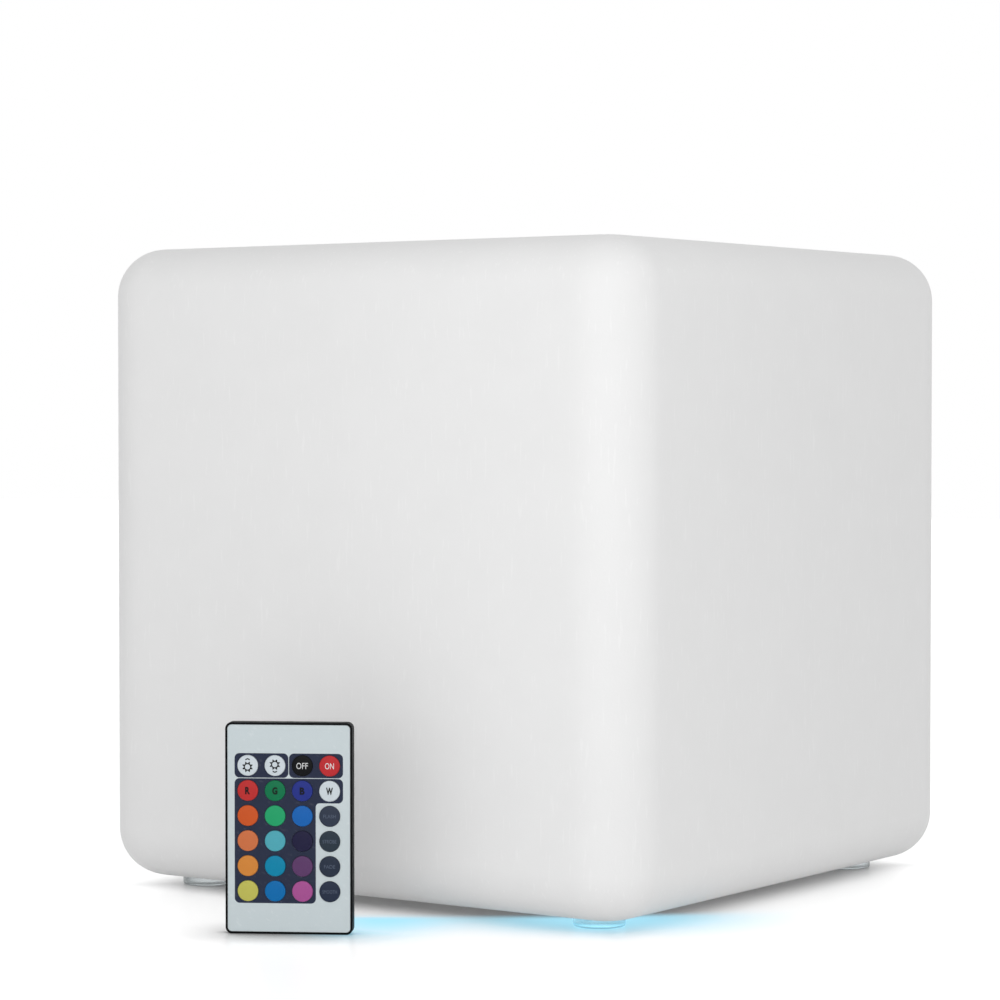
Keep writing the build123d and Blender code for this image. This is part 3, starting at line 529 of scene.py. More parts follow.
def math_node(tree, operation, first, second=0.0, clamp=False):
    """Output of a Math node."""
    sockets = {0: first, 1: second}
    return node(tree, "ShaderNodeMath", sockets, operation=operation, use_clamp=clamp).outputs[0]


def product(tree, first, *others):
    """Product of values."""
    for other in others:
        first = math_node(tree, "MULTIPLY", first, other)
    return first


def split(tree, vector):
    """The X, Y and Z of a vector."""
    return node(tree, "ShaderNodeSeparateXYZ", {0: vector}).outputs


def noise(tree, vector, scale, detail):
    """Soft random pattern."""
    sockets = {"Vector": vector, "Scale": scale, "Detail": detail}
    return node(tree, "ShaderNodeTexNoise", sockets).outputs["Fac"]


def mapped(tree, vector, kind="POINT", **sockets):
    """A vector moved, turned and scaled by a Mapping node."""
    return node(tree, "ShaderNodeMapping", {"Vector": vector, **sockets}, vector_type=kind).outputs[0]


def graded(tree, value, low, high, start=0.0, end=1.0, smooth=True):
    """A value carried from low..high to start..end."""
    kind = "SMOOTHSTEP" if smooth else "LINEAR"
    sockets = {"Value": value, "From Min": low, "From Max": high, "To Min": start, "To Max": end}
    return node(tree, "ShaderNodeMapRange", sockets, interpolation_type=kind).outputs["Result"]


def mixed_colour(tree, share, first, second):
    """Output of a colour Mix node, which has its own numbers for its colour sockets."""
    sockets = dict(zip(MIX_SOCKETS, (share, first, second)))
    return node(tree, "ShaderNodeMix", sockets, data_type="RGBA").outputs[MIX_OUTPUT]


def opaque(colour):
    """A colour with full alpha."""
    return (*colour, 1)


# --- Shared effects ---


def shared_effect(name):
    """Marks a function that builds an effect, so that every use after the first gets the same node group."""

    def mark(build):
        def fetch():
            return bpy.data.node_groups.get(name) or build(name)

        return fetch

    return mark


def new_effect(name, inputs, outputs):
    """Empty node group with named sockets; returns its tree, its inputs and its outputs."""
    tree = bpy.data.node_groups.new(name, "ShaderNodeTree")
    for label, (kind, default) in {"Vector": (VECTOR, None), **inputs}.items():
        socket = tree.interface.new_socket(label, in_out="INPUT", socket_type=kind)
        if default is not None:
            socket.default_value = default
    for label, kind in outputs.items():
        tree.interface.new_socket(label, in_out="OUTPUT", socket_type=kind)
    return tree, tree.nodes.new("NodeGroupInput").outputs, tree.nodes.new("NodeGroupOutput").inputs


def vary_surface(tree, given, made, pattern, tone_share, gloss_share):
    """Lets a pattern lighten and darken the given colour, and raise and lower the given roughness."""
    swing = math_node(tree, "SUBTRACT", pattern, NOISE_MIDDLE)
    tone = math_node(tree, "ADD", product(tree, swing, tone_share), 1)
    toned = node(tree, "ShaderNodeVectorMath", {0: given["Colour"], 1: tone}, operation="MULTIPLY")
    tree.links.new(toned.outputs[0], made["Colour"])
    gloss = product(tree, swing, gloss_share)
    tree.links.new(math_node(tree, "ADD", given["Roughness"], gloss, clamp=True), made["Roughness"])


@shared_effect("moulded surface")
def moulded_effect(name):
    """Moulded plastic: a faint mottle in the tone, a fine grain in the height, and uneven gloss."""
    inputs = {
        "Colour": (COLOUR, GREY),
        "Mottle": (NUMBER, 0.03),
        "Mottle Scale": (NUMBER, 40),
        "Grain Scale": (NUMBER, 2500),
        "Roughness": (NUMBER, 0.4),
        "Gloss Spread": (NUMBER, 0.06),
    }
    tree, given, made = new_effect(name, inputs, {"Colour": COLOUR, "Roughness": NUMBER, "Height": NUMBER})
    clouds = noise(tree, given["Vector"], given["Mottle Scale"], detail=3)
    grain = noise(tree, given["Vector"], given["Grain Scale"], detail=2)
    vary_surface(tree, given, made, clouds, given["Mottle"], given["Gloss Spread"])
    tree.links.new(grain, made["Height"])
    return tree


@shared_effect("brushed metal")
def brushed_effect(name):
    """Brushed or turned metal: fine lines drawn out along Z, in the tone, the gloss and the height."""
    inputs = {
        "Colour": (COLOUR, GREY),
        "Line Scale": (NUMBER, 900),
        "Tone": (NUMBER, 0.15),
        "Roughness": (NUMBER, 0.3),
        "Gloss Spread": (NUMBER, 0.25),
    }
    tree, given, made = new_effect(name, inputs, {"Colour": COLOUR, "Roughness": NUMBER, "Height": NUMBER})
    drawn = mapped(tree, given["Vector"], Scale=(1, 1, 0.06))
    lines = noise(tree, drawn, given["Line Scale"], detail=3)
    vary_surface(tree, given, made, lines, given["Tone"], given["Gloss Spread"])
    tree.links.new(lines, made["Height"])
    return tree


@shared_effect("drawn scuffs")
def scuff_effect(name):
    """Thin scuffs drawn out along Z, as a mask."""
    inputs = {"Scale": (NUMBER, 400), "Start": (NUMBER, 0.6), "Spread": (NUMBER, 0.1)}
    tree, given, made = new_effect(name, inputs, {"Mask": NUMBER})
    drawn = mapped(tree, given["Vector"], Scale=(1, 1, 0.12))
    marks = noise(tree, drawn, given["Scale"], detail=2)
    end = math_node(tree, "ADD", given["Start"], given["Spread"])
    tree.links.new(graded(tree, marks, given["Start"], end), made["Mask"])
    return tree


@shared_effect("board tracks")
def track_effect(name):
    """Copper tracks under the solder mask of a circuit board."""
    inputs = {
        "Mask Colour": (COLOUR, GREY),
        "Track Colour": (COLOUR, GREY),
        "Track Scale": (NUMBER, 160),
        "Rings": (NUMBER, 4),
        "Track Start": (NUMBER, 0.42),
        "Track End": (NUMBER, 0.5),
    }
    tree, given, made = new_effect(name, inputs, {"Colour": COLOUR, "Height": NUMBER})
    sockets = {"Vector": given["Vector"], "Scale": given["Track Scale"]}
    cells = node(tree, "ShaderNodeTexVoronoi", sockets, distance="CHEBYCHEV", feature="F1")
    rings = math_node(tree, "FRACT", product(tree, cells.outputs["Distance"], given["Rings"]))
    track = graded(tree, rings, given["Track Start"], given["Track End"])
    tree.links.new(mixed_colour(tree, track, given["Mask Colour"], given["Track Colour"]), made["Colour"])
    tree.links.new(track, made["Height"])
    return tree


# --- Materials ---


def new_material(name, **constants):
    """New material with constants on its shader; returns it, its tree, its shader and Object coordinates."""
    material = bpy.data.materials.new(name)
    material.use_nodes = True
    tree = material.node_tree
    shader = tree.nodes["Principled BSDF"]
    for socket, value in constants.items():
        shader.inputs[socket.replace("_", " ")].default_value = value
    place = tree.nodes.new("ShaderNodeTexCoord").outputs["Object"]
    return material, tree, shader, place


def apply_effect(tree, shader, effect, sockets, depth):
    """Places an effect in a material: its colour and gloss on the shader, its height as a bump."""
    group = node(tree, "ShaderNodeGroup", sockets, node_tree=effect)
    tree.links.new(group.outputs["Colour"], shader.inputs["Base Color"])
    if "Roughness" in group.outputs:
        tree.links.new(group.outputs["Roughness"], shader.inputs["Roughness"])
    bump = node(tree, "ShaderNodeBump", {"Height": group.outputs["Height"], "Distance": depth})
    tree.links.new(bump.outputs["Normal"], shader.inputs["Normal"])


def scuff_mask(tree, place, scale, start, spread):
    """Where a material shows its scuffs."""
    sockets = {"Vector": place, "Scale": scale, "Start": start, "Spread": spread}
    return node(tree, "ShaderNodeGroup", sockets, node_tree=scuff_effect()).outputs["Mask"]


def moulded_plastic(
    name, colour, roughness, mottle=0.04, grain=0.00002, spread=0.06, mottle_scale=40, **constants
):
    """Moulded plastic or rubber in one colour."""
    material, tree, shader, place = new_material(name, **constants)
    sockets = {
        "Vector": place,
        "Colour": opaque(colour),
        "Mottle": mottle,
        "Mottle Scale": mottle_scale,
        "Roughness": roughness,
        "Gloss Spread": spread,
    }
    apply_effect(tree, shader, moulded_effect(), sockets, grain)
    return material


def brushed_metal(name, colour, roughness, tone=0.15, line_scale=900):
    """Plated, brushed or turned metal."""
    material, tree, shader, place = new_material(name, Metallic=1)
    sockets = {
        "Vector": place,
        "Colour": opaque(colour),
        "Line Scale": line_scale,
        "Tone": tone,
        "Roughness": roughness,
    }
    apply_effect(tree, shader, brushed_effect(), sockets, depth=0.00001)
    return material


def printed_board(name, mask, track):
    """Circuit board with its tracks under the solder mask."""
    material, tree, shader, place = new_material(name, Roughness=0.35)
    sockets = {
        "Vector": place,
        "Mask Colour": opaque(display_colour(*mask)),
        "Track Colour": opaque(display_colour(*track)),
    }
    apply_effect(tree, shader, track_effect(), sockets, depth=0.00003)
    return material


def clear_plastic(name, colour, roughness, transmission, **constants):
    """Clear or frosted plastic with a fine grain."""
    constants = {"Transmission_Weight": transmission, "IOR": ACRYLIC_IOR, **constants}
    return moulded_plastic(name, display_colour(*colour), roughness, mottle=0.05, **constants)


# --- Shell ---


def rise(edge):
    """Difference in height between the ends of an edge."""
    return abs(edge.verts[0].co.z - edge.verts[1].co.z)


def rounded_block(low, high, upright_radius, rim_radius):
    """Block with rounded upright edges and then a rounded top and bottom rim."""
    mesh = bmesh.new()
    size = high - low
    place = Matrix.Translation((low + high) / 2) @ Matrix.Diagonal((*size, 1))
    bmesh.ops.create_cube(mesh, size=1, matrix=place)
    upright = [edge for edge in mesh.edges if rise(edge) > rim_radius]
    round_edges(mesh, upright, upright_radius, SHELL_EDGE_STEPS)
    rims = [edge for edge in mesh.edges if rise(edge) < WELD]
    round_edges(mesh, rims, rim_radius, SHELL_EDGE_STEPS)
    return mesh


def hollow_faces(mesh, faces, border, depth):
    """Gives each large face a flat border and draws its middle in, as a cooling moulding does.

    The top has round corners and stays flat.
    """
    for face in faces:
        normal = face.normal.copy()
        centre = face.calc_center_median()
        bmesh.ops.inset_individual(mesh, faces=[face], thickness=border, use_even_offset=True)
        if len(face.verts) > SQUARE_CORNERS:
            continue
        half = max((vertex.co - centre).length for vertex in face.verts) / math.sqrt(2)
        cut = bmesh.ops.subdivide_edges(mesh, edges=face.edges[:], cuts=FACE_CUTS, use_grid_fill=True)
        side = normal.cross(upward)
        for vertex in only(bmesh.types.BMVert, cut["geom_inner"]):
            offset = vertex.co - centre
            along, up = offset.dot(side) / half, offset.z / half
            vertex.co -= normal * depth * max(0, 1 - along**2) * max(0, 1 - up**2)


def ring_extruded(mesh, ring, radius, level):
    """Extrudes a ring of edges round the Z axis to a new radius and height."""
    parts = bmesh.ops.extrude_edge_only(mesh, edges=ring)["geom"]
    for vertex in only(bmesh.types.BMVert, parts):
        flat = Vector((vertex.co.x, vertex.co.y, 0)).normalized() * radius
        vertex.co = (flat.x, flat.y, level)
    return only(bmesh.types.BMEdge, parts)


def circles_at(mesh, radius, spots, level, steps):
    """Rings of edges of one size round several spots."""
    return [edge for x, y in spots for edge in add_circle(mesh, radius, (x, y, level), steps)]


def shell_plastic(settings):
    """Satin white polyethylene with a faint mottle and short upright scuffs from its mould."""
    material, tree, shader, place = new_material("satin shell", Specular_IOR_Level=0.16)
    scuffs = scuff_mask(tree, place, scale=330, start=0.6, spread=0.12)
    sockets = {
        "Vector": place,
        "Colour": mixed_colour(tree, scuffs, opaque(settings.colour), opaque(settings.scuff_colour)),
        "Mottle": 0.035,
        "Mottle Scale": 26,
        "Grain Scale": 420,
        "Roughness": 0.45,
        "Gloss Spread": 0.12,
    }
    apply_effect(tree, shader, moulded_effect(), sockets, depth=0.00006)
    return material


def insert_ring():
    """Middles of the threaded inserts round the Z axis, and their radius."""
    places = [Vector((vertex.co.x, vertex.co.y)) for vertex in frame["nodes"]["shell_inserts"].data.vertices]
    distances = [place.length for place in places]
    ring_radius = (max(distances) + min(distances)) / 2
    spacing = FULL_TURN / INSERT_COUNT
    numbers = {round(math.atan2(place.y, place.x) / spacing) % INSERT_COUNT for place in places}
    turns = [number * spacing for number in sorted(numbers)]
    spots = [(ring_radius * math.cos(turn), ring_radius * math.sin(turn)) for turn in turns]
    return spots, max(distances) - ring_radius


class CUBELIGHT_OT_shell(bpy.types.Operator):
    """Moulded cube with its recess and the bosses for the threaded inserts"""

    bl_idname = "cube_light.shell"
    bl_label = "Shell"

    def execute(self, context):
        looks = context.scene.cube_light
        settings = looks.shell
        low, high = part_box("cube_shell")
        mesh = rounded_block(low, high, settings.upright_radius, settings.rim_radius)
        flat_faces = sorted(mesh.faces, key=lambda face: face.calc_area())[-CUBE_SIDES:]
        bottom = min(flat_faces, key=lambda face: face.calc_center_median().z)
        flat_faces.remove(bottom)
        rim = bottom.edges[:]
        bmesh.ops.delete(mesh, geom=[bottom], context="FACES_ONLY")
        recess_top = self.open_underside(mesh, rim, low.z, looks)
        bmesh.ops.recalc_face_normals(mesh, faces=mesh.faces)
        hollow_faces(mesh, flat_faces, settings.face_border, settings.face_hollow)
        finish = shell_plastic(settings)
        piece = finished_piece("shell", mesh, "cube", finish, ["cube_shell"])
        wall = piece.modifiers.new("wall", "SOLIDIFY")
        wall.thickness = settings.wall
        wall.offset = INWARDS
        wall.use_even_offset = True
        self.add_bosses(settings, recess_top + settings.wall, finish, looks.boss_steps)
        return {"FINISHED"}

    def open_underside(self, mesh, rim, level, looks):
        """Underside with holes for the feet and a round recess; returns the height of the recess's top."""
        settings = looks.shell
        recess_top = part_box("base_gasket")[1].z
        recess_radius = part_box("lamp_base")[1].x + settings.recess_gap
        opening_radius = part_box("light_dome")[1].x + settings.opening_gap
        mouth = add_circle(mesh, recess_radius + settings.mouth_radius, (0, 0, level), looks.round_steps)
        hole_radius = looks.feet.stem_radius + looks.feet.stem_gap
        stem_holes = circles_at(mesh, hole_radius, foot_places(looks.feet), level, looks.hole_steps)
        fill_between(mesh, rim + mouth + stem_holes)
        ring = mouth
        for step in range(1, MOUTH_STEPS + 1):
            turn = QUARTER_TURN * step / MOUTH_STEPS
            radius = recess_radius + settings.mouth_radius * (1 - math.sin(turn))
            ring = ring_extruded(mesh, ring, radius, level + settings.mouth_radius * (1 - math.cos(turn)))
        ring = ring_extruded(mesh, ring, recess_radius, recess_top)
        opening = add_circle(mesh, opening_radius, (0, 0, recess_top), looks.round_steps)
        insert_spots, insert_radius = insert_ring()
        insert_holes = circles_at(mesh, insert_radius, insert_spots, recess_top, looks.hole_steps)
        fill_between(mesh, ring + opening + insert_holes)
        return recess_top

    def add_bosses(self, settings, floor, finish, steps):
        """One boss round each threaded insert, standing on the recess from inside."""
        spots, hole = insert_ring()
        insert_top = reach("shell_inserts", upward)[1]
        boss_top = floor + settings.boss_height
        profile = [
            (0, boss_top),
            (settings.boss_radius, boss_top),
            (settings.boss_radius, floor),
            (hole, floor),
            (hole, insert_top),
            (0, insert_top),
        ]
        mesh = repeated(turned(profile, steps), spots)
        finished_piece("insert_bosses", mesh, "cube", finish)


# --- Feet ---


def foot_places(settings):
    """Middle of each foot pad on the floor."""
    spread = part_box("corner_feet")[1].x - settings.radius
    return [(x * spread, y * spread) for x in (-1, 1) for y in (-1, 1)]


def near_foot(settings):
    """The foot nearest the camera."""
    return max(foot_places(settings), key=lambda place: place[0] - place[1])


def pad_plastic(settings):
    """Frosted clear plastic that carries some of the lamp's light at the near foot."""
    material, tree, shader, place = new_material(
        "frosted foot pad", Transmission_Weight=0.8, IOR=ACRYLIC_IOR, Emission_Strength=1
    )
    spread = near_foot(settings)[0]
    parts = split(tree, place)
    nearness = math_node(tree, "SUBTRACT", parts["X"], parts["Y"])
    lit = graded(tree, nearness, spread - settings.radius, spread + settings.radius)
    sockets = {"Vector": place, "Colour": opaque(settings.colour), "Mottle": 0.05, "Roughness": 0.25}
    apply_effect(tree, shader, moulded_effect(), sockets, depth=0.00002)
    carried = mixed_colour(tree, lit, BLACK, opaque(settings.carried_light))
    tree.links.new(carried, shader.inputs["Emission Color"])
    return material


class CUBELIGHT_OT_feet(bpy.types.Operator):
    """Four clear foot pads, each held in the shell by a barbed stem"""

    bl_idname = "cube_light.feet"
    bl_label = "Foot pads"

    def execute(self, context):
        settings = context.scene.cube_light.feet
        floor, barb_top = reach("corner_feet", upward)
        pad_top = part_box("cube_shell")[0].z
        barb_floor = barb_top - settings.barb_height
        profile = [
            (0, floor),
            (settings.radius, floor),
            (settings.radius, pad_top),
            (settings.stem_radius, pad_top),
            (settings.stem_radius, barb_floor),
            (settings.barb_radius, barb_floor),
            (settings.stem_radius, barb_top),
            (0, barb_top),
        ]
        pad = turned(profile, context.scene.cube_light.round_steps, {1: settings.edge_radius})
        mesh = repeated(pad, foot_places(settings))
        finished_piece("foot_pads", mesh, "cube", pad_plastic(settings), ["corner_feet"])
        return {"FINISHED"}


# --- Lamp unit and charging panel: CAD nodes with finishes ---


def dress_moulded(*parts):
    """Plain moulded finishes, each given as a CAD node, the finish's name, its colour and its roughness."""
    for part, name, colour, roughness in parts:
        dress(part, moulded_plastic(name, display_colour(*colour), roughness))


def dress_metal(*parts):
    """Plain metal finishes, each given as a CAD node, the finish's name, its colour and its roughness."""
    for part, name, colour, roughness in parts:
        dress(part, brushed_metal(name, display_colour(*colour), roughness))


class CUBELIGHT_OT_lamp_unit(bpy.types.Operator):
    """Finishes of the lamp unit under the cube and of everything inside it"""

    bl_idname = "cube_light.lamp_unit"
    bl_label = "Lamp unit"

    def execute(self, context):
        lamp = context.scene.cube_light.lamp
        steel = (196, 198, 200)
        dress("lamp_base", moulded_plastic("lamp base", display_colour(226, 227, 226), 0.5, grain=0.00005))
        dress_moulded(
            ("base_gasket", "seal rubber", (36, 36, 37), 0.75),
            ("led_board", "white solder mask", (236, 237, 236), 0.4),
            ("ir_receiver", "dark window", (32, 24, 30), 0.18),
            ("battery_lead", "red insulation", (178, 34, 32), 0.42),
            ("led_lead", "grey insulation", (150, 151, 153), 0.5),
            ("panel_leads", "black insulation", (34, 34, 35), 0.45),
        )
        dress_metal(
            ("base_screws", "plated screw", steel, 0.32),
            ("shell_inserts", "turned brass", (214, 172, 96), 0.3),
            ("inner_screws", "small screw", steel, 0.34),
        )
        dress("battery_clamp", brushed_metal("pressed strap", display_colour(*steel), 0.38, line_scale=500))
        dress("light_dome", clear_plastic("frosted dome", (238, 240, 240), roughness=0.55, transmission=0.4))
        lit = {"Emission_Color": opaque(lamp.glow), "Emission_Strength": lamp.strength}
        dress("leds", clear_plastic("lamp lens", (232, 244, 240), roughness=0.2, transmission=0.3, **lit))
        dress("battery_pack", self.shrink_film())
        dress("control_board", printed_board("control board", mask=(20, 104, 62), track=(44, 140, 84)))
        return {"FINISHED"}

    def shrink_film(self):
        """Blue shrunk film with paler stretch bands along the cells."""
        material, tree, shader, place = new_material("shrunk film", Coat_Weight=0.3)
        waves = {"Vector": place, "Scale": 14, "Distortion": 3, "Detail": 2}
        bands = node(tree, "ShaderNodeTexWave", waves, bands_direction="X").outputs["Fac"]
        dark, pale = display_colour(30, 96, 160), display_colour(52, 128, 190)
        colour = mixed_colour(tree, bands, opaque(dark), opaque(pale))
        sockets = {"Vector": place, "Colour": colour, "Mottle": 0.08, "Roughness": 0.26, "Gloss Spread": 0.1}
        apply_effect(tree, shader, moulded_effect(), sockets, depth=0.00003)
        return material


class CUBELIGHT_OT_charging_panel(bpy.types.Operator):
    """Finishes of the socket, its cap, the push switch and the charge light"""

    bl_idname = "cube_light.charging_panel"
    bl_label = "Charging panel"

    def execute(self, context):
        steel = (200, 202, 204)
        dress_moulded(
            ("charging_socket", "socket plastic", (28, 28, 29), 0.28),
            ("socket_nut", "nut plastic", (44, 44, 45), 0.5),
        )
        dress("socket_cover", moulded_plastic("cap rubber", display_colour(38, 38, 39), 0.7, grain=0.00004))
        dress_metal(
            ("power_switch", "turned switch body", steel, 0.28),
            ("switch_nut", "plated nut", steel, 0.36),
            ("power_button", "brushed button", (210, 212, 214), 0.24),
        )
        red = (206, 44, 34)
        dress("charge_light", clear_plastic("charge light lens", red, roughness=0.15, transmission=0.4))
        return {"FINISHED"}


# --- Handset ---


class CUBELIGHT_OT_handset_case(bpy.types.Operator):
    """Finishes of the handset's case and of what it holds"""

    bl_idname = "cube_light.handset_case"
    bl_label = "Handset case"

    def execute(self, context):
        colour = context.scene.cube_light.handset.case_colour
        case = moulded_plastic(
            "black case", colour, roughness=0.45, mottle=0.2, spread=0.1, Specular_IOR_Level=0.06
        )
        for name in ("handset_front", "handset_back"):
            dress(name, case)
        black = display_colour(26, 27, 29)
        cover = moulded_plastic("cover plastic", black, roughness=0.4, Specular_IOR_Level=0.3)
        dress("battery_cover", cover)
        dress_moulded(("contact_mat", "silicone mat", (196, 199, 200), 0.6))
        dress("handset_board", printed_board("handset board", mask=(26, 96, 54), track=(48, 132, 80)))
        lens = clear_plastic("emitter lens", (196, 204, 216), roughness=0.12, transmission=0.6)
        dress("ir_emitter", lens)
        bright = display_colour(222, 223, 224)
        dress("coin_cell", brushed_metal("bright cell", bright, roughness=0.16, tone=0.08))
        dress_metal(
            ("cell_contacts", "sprung strip", (216, 212, 196), 0.25),
            ("case_screws", "case screw", (198, 200, 202), 0.34),
        )
        return {"FINISHED"}


def film_finish(name, colour, mottle=0.03, scuffed=0.12):
    """Printed film with a soft gloss and faint slanting scuffs."""
    material, tree, shader, place = new_material(name, Specular_IOR_Level=0.12)
    slanted = mapped(tree, place, Rotation=(0, math.radians(58), math.radians(-30)))
    scuffs = scuff_mask(tree, slanted, scale=420, start=0.58, spread=0.2)
    sockets = {
        "Vector": place,
        "Colour": mixed_colour(tree, product(tree, scuffs, scuffed), opaque(colour), PALE),
        "Mottle": mottle,
        "Mottle Scale": 90,
        "Roughness": 0.32,
        "Gloss Spread": 0.14,
    }
    apply_effect(tree, shader, moulded_effect(), sockets, depth=0.00001)
    return material


def oblong(left, right, bottom, top):
    """Corners of an upright oblong."""
    return [(left, bottom), (right, bottom), (right, top), (left, top)]


class CUBELIGHT_OT_keypad_film(bpy.types.Operator):
    """Pale film over the handset's deck, with its navy printed panels"""

    bl_idname = "cube_light.keypad_film"
    bl_label = "Keypad film"

    def execute(self, context):
        looks = context.scene.cube_light
        settings = looks.handset
        sides = [place - handset_middle for place in reach("keypad_overlay", across)]
        ends = [place - handset_foot for place in reach("keypad_overlay", upward)]
        mesh = punched_sheet(
            oblong(*sides, *ends),
            settings.film_corner_radius,
            key_centres.values(),
            looks.keys.radius + looks.keys.hole_gap,
            film_back,
            film_front,
            looks.round_steps,
        )
        finish = film_finish("pale film", settings.film_colour)
        finished_piece("keypad_film", mesh, "handset", finish, ["keypad_overlay"])
        ink = film_finish("navy print", settings.panel_colour, mottle=0.12, scuffed=0.025)
        for name, keys in (("panel_brightness", ("brighter", "dimmer")), ("panel_power", ("off", "on"))):
            self.add_panel(name, keys, self.box_round(*keys, settings), ink, looks)
        self.add_panel("panel_colours", COLOUR_KEYS, self.stepped_box(settings), ink, looks, notch=2)
        return {"FINISHED"}

    def box_round(self, first, last, settings):
        """Corners of a panel round a run of keys in one row."""
        left = key_centres[first].x - settings.panel_reach_across
        right = key_centres[last].x + settings.panel_reach_across
        bottom = key_centres[first].y - settings.panel_reach_up
        top = key_centres[first].y + settings.panel_reach_up
        return oblong(left, right, bottom, top)

    def stepped_box(self, settings):
        """Corners of the panel round the colour keys, wider along its top row; the third turns inwards."""
        left = key_centres["yellow"].x - settings.panel_reach_across
        inner = key_centres["pink"].x + settings.panel_reach_across
        right = key_centres["white"].x + settings.panel_reach_across
        bottom = key_centres["yellow"].y - settings.panel_reach_up
        step = key_centres["white"].y - settings.panel_reach_up
        top = key_centres["white"].y + settings.panel_reach_up
        return [(left, bottom), (inner, bottom), (inner, step), (right, step), (right, top), (left, top)]

    def add_panel(self, name, keys, corners, finish, looks, notch=None):
        """One printed panel on the film, with a hole for each key inside it."""
        settings = looks.handset
        mesh = punched_sheet(
            corners,
            settings.panel_corner_radius,
            [key_centres[key] for key in keys],
            looks.keys.radius + looks.keys.hole_gap,
            film_front,
            film_front + settings.ink_thickness,
            looks.round_steps,
            notch,
            settings.panel_notch_radius,
        )
        finished_piece(name, mesh, "handset", finish)


def dome_height(keys, x, y):
    """Height of a cap's domed top above the rim of the case, at a place from its middle."""
    share = (x * x + y * y) / keys.radius**2
    return cap_top - keys.dome_rise * share


class CUBELIGHT_OT_key_caps(bpy.types.Operator):
    """Twenty-four domed key caps, each on its own body"""

    bl_idname = "cube_light.key_caps"
    bl_label = "Key caps"

    def execute(self, context):
        looks = context.scene.cube_light
        keys = looks.keys
        flange_front = cap_back + keys.flange_thickness
        flange_radius = keys.radius + keys.flange_width
        radii = [keys.radius * step / DOME_STEPS for step in range(DOME_STEPS + 1)]
        profile = [(radius, dome_height(keys, radius, 0)) for radius in radii] + [
            (keys.radius, flange_front),
            (flange_radius, flange_front),
            (flange_radius, cap_back),
            (0, cap_back),
        ]
        cap = turned(profile, looks.round_steps, {DOME_STEPS: keys.edge_radius})
        finish = {"roughness": 0.32, "mottle": 0.06, "grain": 0.00001, "mottle_scale": 160}
        for name in KEY_NAMES:
            mesh = moved_copy(cap, handset_place @ Matrix.Translation(key_centres[name]))
            colour = getattr(looks.key_colours, name)
            plastic = moulded_plastic(f"{name} cap", colour, Specular_IOR_Level=0.1, **finish)
            finished_piece(f"cap_{name}", mesh, f"key_{name}", plastic, [f"key_{name}"])
        cap.free()
        return {"FINISHED"}


def middle_and_size(values):
    """Middle of a run of places, and its length."""
    return (min(values) + max(values)) / 2, max(values) - min(values)


def lettering(text, height, width, weight=0.0):
    """Flat mesh of a word, centred on the origin, with its overall height and width and extra weight."""
    curve = bpy.data.curves.new("lettering", "FONT")
    curve.body = text
    curve.offset = weight
    curve.resolution_u = LETTER_CURVE_STEPS
    holder = bpy.data.objects.new("lettering", curve)
    bpy.context.scene.collection.objects.link(holder)
    graph = bpy.context.evaluated_depsgraph_get()
    flat = bpy.data.meshes.new_from_object(holder.evaluated_get(graph))
    mesh = bmesh.new()
    mesh.from_mesh(flat)
    bpy.data.objects.remove(holder)
    bpy.data.curves.remove(curve)
    bpy.data.meshes.remove(flat)
    bmesh.ops.remove_doubles(mesh, verts=mesh.verts, dist=WELD)
    middle_x, full_width = middle_and_size([vertex.co.x for vertex in mesh.verts])
    middle_y, full_height = middle_and_size([vertex.co.y for vertex in mesh.verts])
    bmesh.ops.translate(mesh, vec=(-middle_x, -middle_y, 0), verts=mesh.verts)
    bmesh.ops.scale(mesh, vec=(width / full_width, height / full_height, 1), verts=mesh.verts)
    return mesh


def sun_sign(sun_rise, caret_rise):
    """Flat mesh of a sun with short rays, and of a caret that points away from it."""
    ring_radius, ring_width, ray_reach, ray_half = 0.0033, 0.0010, 0.0050, 0.0010
    caret_half, caret_drop, caret_stroke = 0.0019, 0.0009, 0.0011
    ray_count, ring_steps = 8, 32
    mesh = bmesh.new()
    centre = Matrix.Translation((0, sun_rise, 0))
    for radius in (ring_radius, ring_radius - ring_width):
        add_circle(mesh, radius, (0, sun_rise, 0), ring_steps)
    fill_between(mesh, mesh.edges[:])
    for ray in range(ray_count):
        turn = Matrix.Rotation(FULL_TURN * (ray + 0.5) / ray_count, 4, "Z")
        tip = [(ring_radius, -ray_half), (ray_reach, 0), (ring_radius, ray_half)]
        mesh.faces.new([mesh.verts.new(centre @ turn @ Vector((x, y, 0))) for x, y in tip])
    away = math.copysign(1, caret_rise - sun_rise)
    peak = caret_rise + caret_drop * away
    stroke = caret_stroke * away
    caret = [
        (-caret_half, caret_rise - stroke),
        (0, peak - stroke),
        (caret_half, caret_rise - stroke),
        (caret_half, caret_rise),
        (0, peak),
        (-caret_half, caret_rise),
    ]
    mesh.faces.new([mesh.verts.new((x, y, 0)) for x, y in caret])
    bmesh.ops.triangulate(mesh, faces=mesh.faces[:])
    return mesh


